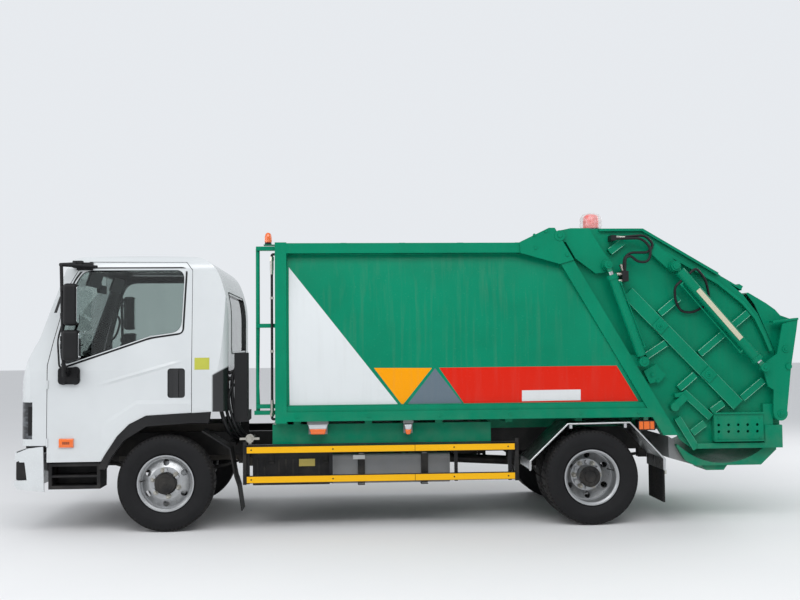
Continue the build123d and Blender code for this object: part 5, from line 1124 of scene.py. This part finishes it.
# Inside the cab: the mirror and visors over the screen, the dials' hood, the levers under the wheel
# and the grab handles on the pillars, all in black plastic.
shape = bmesh.new()
box(shape, 0.735, 0.765, -0.14, 0.14, 2.045, 2.125)
bevelled(shape, 0.012)
rod(shape, (0.757, 0.0, 2.10), (0.770, 0.0, 2.20), 0.010, 12)
for y in (0.43, -0.43):
    visor = box(shape, 0.675, 0.695, y - 0.21, y + 0.21, 2.075, 2.215)
    bmesh.ops.rotate(shape, verts=visor, cent=(0.685, y, 2.215),
                     matrix=Matrix.Rotation(math.radians(-18), 3, "Y"))
box(shape, 0.745, 0.945, 0.310, 0.650, 1.415, 1.475)
fit("cab_mirror_and_visors", shape, black_plastic, "cab", 40)
WHEEL_SPOT, WHEEL_FACING = Vector((0.600, 0.480, 1.400)), Vector((-0.5, 0, 0.87)).normalized()
shape = bmesh.new()
rod(shape, WHEEL_SPOT - WHEEL_FACING * 0.004, WHEEL_SPOT + WHEEL_FACING * 0.030, 0.062, 32, 0.048)
for turn in (-1, 1):
    lever = WHEEL_SPOT - WHEEL_FACING * 0.060
    rod(shape, lever + Vector((0, turn * 0.02, 0)), lever + Vector((0.02, turn * 0.190, 0.02)), 0.007, 12,
        0.010)
fit("wheel_pad_and_levers", shape, black_plastic, "cab")
for side, word in SIDES:
    bent_bar(f"pillar_grab_handle_{word}", (
        (0.845, side * 0.800, 1.62), (0.795, side * 0.785, 1.64),
        (0.740, side * 0.775, 1.84), (0.790, side * 0.790, 1.86)), 0.011, black_plastic, "cab")


# Seats: foam cushions in dark woven cloth, sewn across in channels. Two seats with head rests flank
# a narrower middle one; together they replace the plain solid seats.
cloth = Finish("seat_cloth")
seat_base = cloth.mix(cloth.span(cloth.noise(6.0, 5.0), 0.35, 0.65), (0.026, 0.027, 0.030),
                      (0.042, 0.043, 0.047))
warp = cloth.math("SINE", cloth.times(cloth.y, 2400.0))
weft = cloth.math("SINE", cloth.times(cloth.plus(cloth.x, cloth.z), 2400.0))
weave = cloth.span(cloth.times(warp, weft), -1.0, 1.0)
cloth.colour(cloth.mix(weave, seat_base, (0.055, 0.056, 0.060)))
cloth.rough(cloth.noise(80.0), 0.82, 0.95)
cloth.relief(weave, 0.4, 0.0008)
cloth.hold(Sheen_Weight=0.25)


SQUARENESS = 7
WAIST_ALONG, WAIST_ACROSS = 0.045, 0.030
GROOVE_HALF, GROOVE_DEEP = 0.045, 0.22


def cushion(name, middle, half, lean, channels, crown):
    """A stuffed form: crowned, drawn in between its corners, with a sewn groove at each channel."""
    shape = bmesh.new()
    bmesh.ops.create_cube(shape, size=2.0)
    bmesh.ops.subdivide_edges(shape, edges=shape.edges, cuts=17, use_grid_fill=True)
    for vert in shape.verts:
        u, v, w = vert.co
        round_off = sum(abs(part) ** SQUARENESS for part in (u, v, w)) ** (1 / SQUARENESS)
        u, v, w = u / round_off, v / round_off, w / round_off
        u *= 1 - WAIST_ALONG * (1 - v * v)
        v *= 1 - WAIST_ACROSS * (1 - u * u)
        groove = sum(math.exp(-((u - place) / GROOVE_HALF) ** 2) for place in channels)
        top = max(0.0, w)
        drop = (1 - 1 / (1 + crown)) * (1 - (1 - u * u) * (1 - v * v))
        w -= top * (drop + GROOVE_DEEP * groove * (1 - abs(v) ** 6))
        vert.co = (u * half[0], v * half[1], w * half[2])
    bmesh.ops.rotate(shape, verts=shape.verts, cent=(0, 0, 0),
                     matrix=Matrix.Rotation(math.radians(lean), 3, "Y"))
    bmesh.ops.translate(shape, verts=shape.verts, vec=middle)
    piece = fit(name, shape, cloth, "cab", 60)
    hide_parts("seats")


for word, y, half_w in (("left", 0.52, 0.238), ("right", -0.52, 0.238), ("middle", 0.01, 0.188)):
    cushion(f"seat_cushion_{word}", (-0.105, y, 1.094), (0.224, half_w, 0.064), 0.0, (-0.55, -0.1, 0.35),
            0.30)
    cushion(f"seat_back_{word}", (-0.348, y, 1.372), (0.205, half_w - 0.018, 0.040), 79.4, (-0.5, 0.0, 0.5),
            0.35)
for word, y in (("left", 0.52), ("right", -0.52)):
    cushion(f"head_rest_{word}", (-0.372, y, 1.700), (0.095, 0.135, 0.036), 79.4, (), 0.35)
shape = bmesh.new()
for y in (0.45, 0.59, -0.45, -0.59):
    rod(shape, (-0.366, y, 1.560), (-0.384, y, 1.640), 0.006, 12)
for y in (0.52, -0.52):
    box(shape, -0.320, 0.080, y - 0.180, y + 0.180, 1.0305, 1.040)
fit("head_rest_posts", shape, satin_black, "cab")


# Pipes behind the cab: coolant and air hoses in black rubber that come up from the chassis beside
# the air intake and bend in under the cab's back.
for index, (x, y, top, r) in enumerate(((-0.445, 0.835, 1.27, 0.017), (-0.485, 0.800, 1.33, 0.014),
                                        (-0.525, 0.845, 1.22, 0.012), (-0.545, 0.780, 1.36, 0.016))):
    bent_bar(f"cab_back_hose_{index + 1}", (
        (x - 0.12, 0.44, 0.74), (x - 0.10, y - 0.10, 0.76), (x - 0.05, y, 0.86),
        (x, y, 1.02), (x + 0.012, y, top - 0.10), (x - 0.02, y - 0.03, top),
        (-0.590, 0.742, top + 0.01)), r, hose_rubber, "chassis")


# Tailgate: folded and welded plate in the body's green. Every rib and beam has a rounded weld along
# its long edges, painted a lighter green than the body as a painted highlight.
coat(green, "tailgate_sides", "tailgate_roof", "hopper_trough", "packer_carriage", "packer_blade",
     "lift_barrels", "bucket_barrels", "bucket")
# Painted highlight: the welds are a lighter, glossier green than the body, for the light caught on the rib
# edges.
weld_highlight_green = painted("weld_highlight_green", (0.012, 0.30, 0.175), (0.008, 0.25, 0.14), (0.12, 0.22), 90.0, 0.05, 0.2)
weld_highlight_green.hold(Coat_Weight=0.6, Coat_Roughness=0.05)
RIBS = (
    ((-4.207, 1.792), (-4.381, 1.931), 0.056), ((-4.551, 1.444), (-4.989, 1.797), 0.056),
    ((-4.913, 1.059), (-5.108, 1.215), 0.056), ((-4.086, 1.431), (-4.259, 1.541), 0.056),
    ((-4.364, 1.150), (-4.509, 1.269), 0.056), ((-4.644, 0.951), (-4.750, 1.024), 0.056),
    ((-4.469, 0.769), (-4.584, 0.853), 0.056), ((-3.782, 2.327), (-3.907, 2.421), 0.056),
    ((-4.400, 1.120), (-4.636, 0.900), 0.058), ((-4.345, 0.900), (-4.505, 0.636), 0.056),
)
shape = bmesh.new()
for start, end, wide in RIBS:
    start, end = Vector((start[0], 0, start[1])), Vector((end[0], 0, end[1]))
    along = (end - start).normalized()
    across = Vector((-along.z, 0, along.x))
    for edge in (-0.5, 0.5):
        shift = across * wide * edge + Vector((0, 1.0005, 0))
        rod(shape, start + along * 0.006 + shift, end - along * 0.006 + shift, 0.0034, 8)
BEAM = ((-3.930, 1.976), (-4.875, 1.005))
BEAM_ACROSS = (0.717, -0.697)
for shift in (-0.055, 0.055):
    top, foot = ((x + shift * BEAM_ACROSS[0], 1.0085, z + shift * BEAM_ACROSS[1]) for x, z in BEAM)
    rod(shape, top, foot, 0.0036, 8)
mirrored(shape)
fit("tailgate_rib_welds", shape, weld_highlight_green, "tailgate")


# Pins and bolts of the tailgate: square plates with a stepped cap and a grease nipple, the bolts beside
# them, and the caps on the bucket cylinders' upper pins. Painted over with the tailgate.
def grease_nipple(shape, x, y, z):
    pin(shape, x, z, y, y + 0.005, 0.007, 6)
    pin(shape, x, z, y + 0.005, y + 0.014, 0.0034, 12, 0.0026)
    bmesh.ops.create_uvsphere(shape, u_segments=10, v_segments=6, radius=0.0036,
                              matrix=Matrix.Translation((x, y + 0.0155, z)))


shape = bmesh.new()
for x, z in ((-4.205, 1.688), (-4.620, 1.268)):
    plate = box(shape, x - 0.052, x + 0.052, 1.016, 1.0225, z - 0.052, z + 0.052)
    bmesh.ops.rotate(shape, verts=plate, cent=(x, 1.02, z), matrix=Matrix.Rotation(math.radians(-44), 3, "Y"))
    pin(shape, x, z, 1.022, 1.027, 0.034, 32)
    pin(shape, x, z, 1.027, 1.031, 0.019, 24, 0.016)
    grease_nipple(shape, x, 1.030, z)
for x, z in ((-4.133, 1.271), (-4.180, 1.216)):
    pin(shape, x, z, 0.997, 1.003, 0.020, 24)
    pin(shape, x, z, 1.003, 1.011, 0.0125, 6)
for x, z in ((-5.056, 0.895), (-4.694, 0.895), (-4.694, 0.722), (-5.056, 0.722)):
    pin(shape, x, z, 1.019, 1.025, 0.008, 6)
mirrored(shape)
fit("tailgate_bosses_and_bolts", shape, green, "tailgate", 28)
BUCKET_PIN = (-4.330, 2.198)
shape = bmesh.new()
pin(shape, *BUCKET_PIN, 1.099, 1.106, 0.030, 32, 0.027)
pin(shape, *BUCKET_PIN, 1.106, 1.109, 0.011, 6)
mirrored(shape)
fit("cylinder_pin_caps", shape, green, "tailgate", 28)


# Hydraulic cylinders: green barrels and hard chromed rods with green eyes. Each barrel has a thin steel
# pipe with hexagon nuts beside it, and the bucket's carry a cream label strip left blank.
LIFT_PIN, LIFT_EYE, BUCKET_EYE = (-4.039, 1.386), (-3.744, 2.210), (-5.084, 1.327)
for name, (x, z) in (("lift_rods", LIFT_EYE), ("bucket_rods", BUCKET_EYE)):
    rod_finish = Finish(f"{name}_chrome")
    eye = rod_finish.span(rod_finish.from_axle(FRONT_AXLE + x, z), 0.062, 0.064, 1.0, 0.0)
    bright = rod_finish.mix(rod_finish.noise(5.0, 4.0), (0.66, 0.67, 0.69), (0.58, 0.59, 0.61))
    rod_finish.colour(rod_finish.mix(eye, bright, (0.0004, 0.205, 0.108)))
    rod_finish.join(rod_finish.span(eye, 0.0, 1.0, 1.0, 0.0), rod_finish.shader.inputs["Metallic"])
    rod_finish.join(rod_finish.span(eye, 0.0, 1.0, 0.09, 0.34), rod_finish.shader.inputs["Roughness"])
    rod_finish.relief(rod_finish.noise(300.0, 2.0), 0.04, 0.0004)
    coat(rod_finish, name)
label_cream = painted("label_cream", (0.60, 0.57, 0.42), (0.54, 0.51, 0.37), (0.3, 0.42), 70.0, 0.04, 0.12)


def along_cylinder(start, end, share, lift):
    """A point beside a cylinder: its share of the length, moved across it by lift."""
    start, end = Vector((start[0], 0, start[1])), Vector((end[0], 0, end[1]))
    run = (end - start).normalized()
    return start.lerp(end, share) + Vector((-run.z, 0, run.x)) * lift


PIPE_SHARES = (0.13, 0.80)
for body, foot, eye, y, lift in (("lift_barrel_pair", LIFT_PIN, LIFT_EYE, 1.070, 0.052),
                                 ("bucket_barrel_pair", BUCKET_PIN, BUCKET_EYE, 1.072, 0.070)):
    shape = bmesh.new()
    for side in (1, -1):
        out = Vector((0, side * y, 0))
        low, high = (along_cylinder(foot, eye, share, lift) + out for share in PIPE_SHARES)
        rod(shape, low, high, 0.0055, 12)
        for share, spot, inward in zip(PIPE_SHARES, (low, high), (0.030, -0.030)):
            centre = along_cylinder(foot, eye, share, lift * 0.55) + out
            rod(shape, centre, spot, 0.0095, 12)
            bmesh.ops.create_uvsphere(shape, u_segments=12, v_segments=8, radius=0.0105,
                                      matrix=Matrix.Translation(spot))
            rod(shape, spot, spot + (high - low).normalized() * inward, 0.0105, 6)
    fit(body.replace("_pair", "_pipes"), shape, green, body, 30)
shape = bmesh.new()
for side in (1, -1):
    out = Vector((0, side * 1.1165, 0))
    start, end = (along_cylinder(BUCKET_PIN, BUCKET_EYE, share, 0.0) + out for share in (0.235, 0.720))
    run = end - start
    strip = bmesh.ops.create_cube(shape, size=1.0,
                                  matrix=Matrix.Diagonal((run.length, 0.002, 0.042, 1)))["verts"]
    bmesh.ops.rotate(shape, verts=strip, cent=(0, 0, 0),
                     matrix=Matrix.Rotation(-math.atan2(run.z, run.x), 3, "Y"))
    bmesh.ops.translate(shape, verts=strip, vec=(start + end) / 2)
fit("bucket_cylinder_labels", shape, label_cream, "bucket_barrel_pair")


# Tailgate hose ends: crimped ferrules and swivel nuts in bright zinc where the hoses meet the valve
# block and the roof clip.
shape = bmesh.new()
for side in (1, -1):
    for start, end in (((-3.824, 2.448), (-3.905, 2.448)), ((-3.866, 2.216), (-3.886, 2.158)),
                       ((-3.890, 2.146), (-3.903, 2.096)), ((-3.880, 2.134), (-3.822, 2.134)),
                       ((-3.890, 2.080), (-3.836, 2.074))):
        start, end = (Vector((x, side * 1.034, z)) for x, z in (start, end))
        rod(shape, start, start.lerp(end, 0.35), 0.0165, 6)
        rod(shape, start.lerp(end, 0.35), end, 0.0140, 20)
fit("tailgate_hose_ends", shape, zinc, "tailgate", 28)


# Rod eye caps: a stepped round cap outside each rod eye, on the end of its pin. Painted with the
# tailgate.
for name, body, eye, y, r in (("lift_rod_eye_caps", "lift_rod_pair", LIFT_EYE, 1.0925, 0.036),
                              ("bucket_rod_eye_caps", "bucket_rod_pair", BUCKET_EYE, 1.0945, 0.038)):
    shape = bmesh.new()
    pin(shape, *eye, y, y + 0.0075, r, 32, r - 0.002)
    pin(shape, *eye, y + 0.0075, y + 0.0145, (r - 0.004) / 2, 24, (r - 0.008) / 2)
    mirrored(shape)
    fit(name, shape, green, body, 28)


# Loading bucket: folded and welded steel plate. The pivot and eye pins at its arms have bolted caps,
# painted with it.
shape = bmesh.new()
ARM_Y = 1.0425
for x, z in ((-5.235, 0.928), (-5.288, 1.480)):
    pin(shape, x, z, ARM_Y, ARM_Y + 0.008, 0.030, 32, 0.028)
    pin(shape, x, z, ARM_Y + 0.008, ARM_Y + 0.016, 0.012, 6)
mirrored(shape)
fit("bucket_pin_caps", shape, green, "loading_bucket", 28)


# Rear beacon: a red flashing lamp on a black rubber foot, tied up in a creased clear polythene bag.
# The dome replaces the plain solid.
LAMP_X, LAMP_Y = -3.660, 0.850
RED_DOME = ((2.545, 0.0), (2.545, 0.068), (2.600, 0.068), (2.640, 0.065), (2.658, 0.055), (2.668, 0.034),
            (2.671, 0.0))
BAG_TOP = 2.6815
BAG = ((2.5275, 0.084), (2.545, 0.097), (2.600, 0.099), (2.642, 0.093), (2.668, 0.072), (2.679, 0.042),
       (BAG_TOP, 0.0))
FOLD_DEEP = 0.012
beacon_red = painted("beacon_red", (0.80, 0.085, 0.065), (0.70, 0.06, 0.05), (0.10, 0.20), 60.0, 0.1, 0.0)
beacon_red.hold(Emission_Color=(0.9, 0.12, 0.10, 1), Emission_Strength=0.12)
shape = bmesh.new()
upright(shape, RED_DOME, LAMP_X, LAMP_Y, 48)
lamp = fit("rear_beacon_dome", shape, beacon_red, "tailgate", 50)
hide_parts("rear_beacon")
shape = bmesh.new()
rod(shape, (LAMP_X, LAMP_Y, 2.5265), (LAMP_X, LAMP_Y, 2.546), 0.076, 40, 0.071)
fit("rear_beacon_foot", shape, satin_black, "tailgate")
clear_film = plain("clear_film", (0.80, 0.80, 0.80), (0.68, 0.68, 0.69), (16.0, 4.0), (30.0, 5.0),
                   (0.12, 0.34), (38.0, 6.0, 0.7, 0.004))
clear_film.join(clear_film.span(clear_film.noise(22.0, 5.0), 0.35, 0.7, 0.12, 0.42),
                clear_film.shader.inputs["Alpha"])
shape = bmesh.new()
upright(shape, BAG, LAMP_X, LAMP_Y, 72, cuts=4)
for vert in shape.verts:
    out = Vector((vert.co.x - LAMP_X, vert.co.y - LAMP_Y, 0))
    turn = math.atan2(out.y, out.x)
    fold = 0.5 + 0.5 * math.sin(turn * 7 + vert.co.z * 55) * math.sin(turn * 11 - vert.co.z * 80)
    if out.length > 0.01:
        vert.co -= out.normalized() * fold * FOLD_DEEP * min(1.0, (BAG_TOP - vert.co.z) / 0.02)
fit("rear_beacon_bag", shape, clear_film, "tailgate", 60)
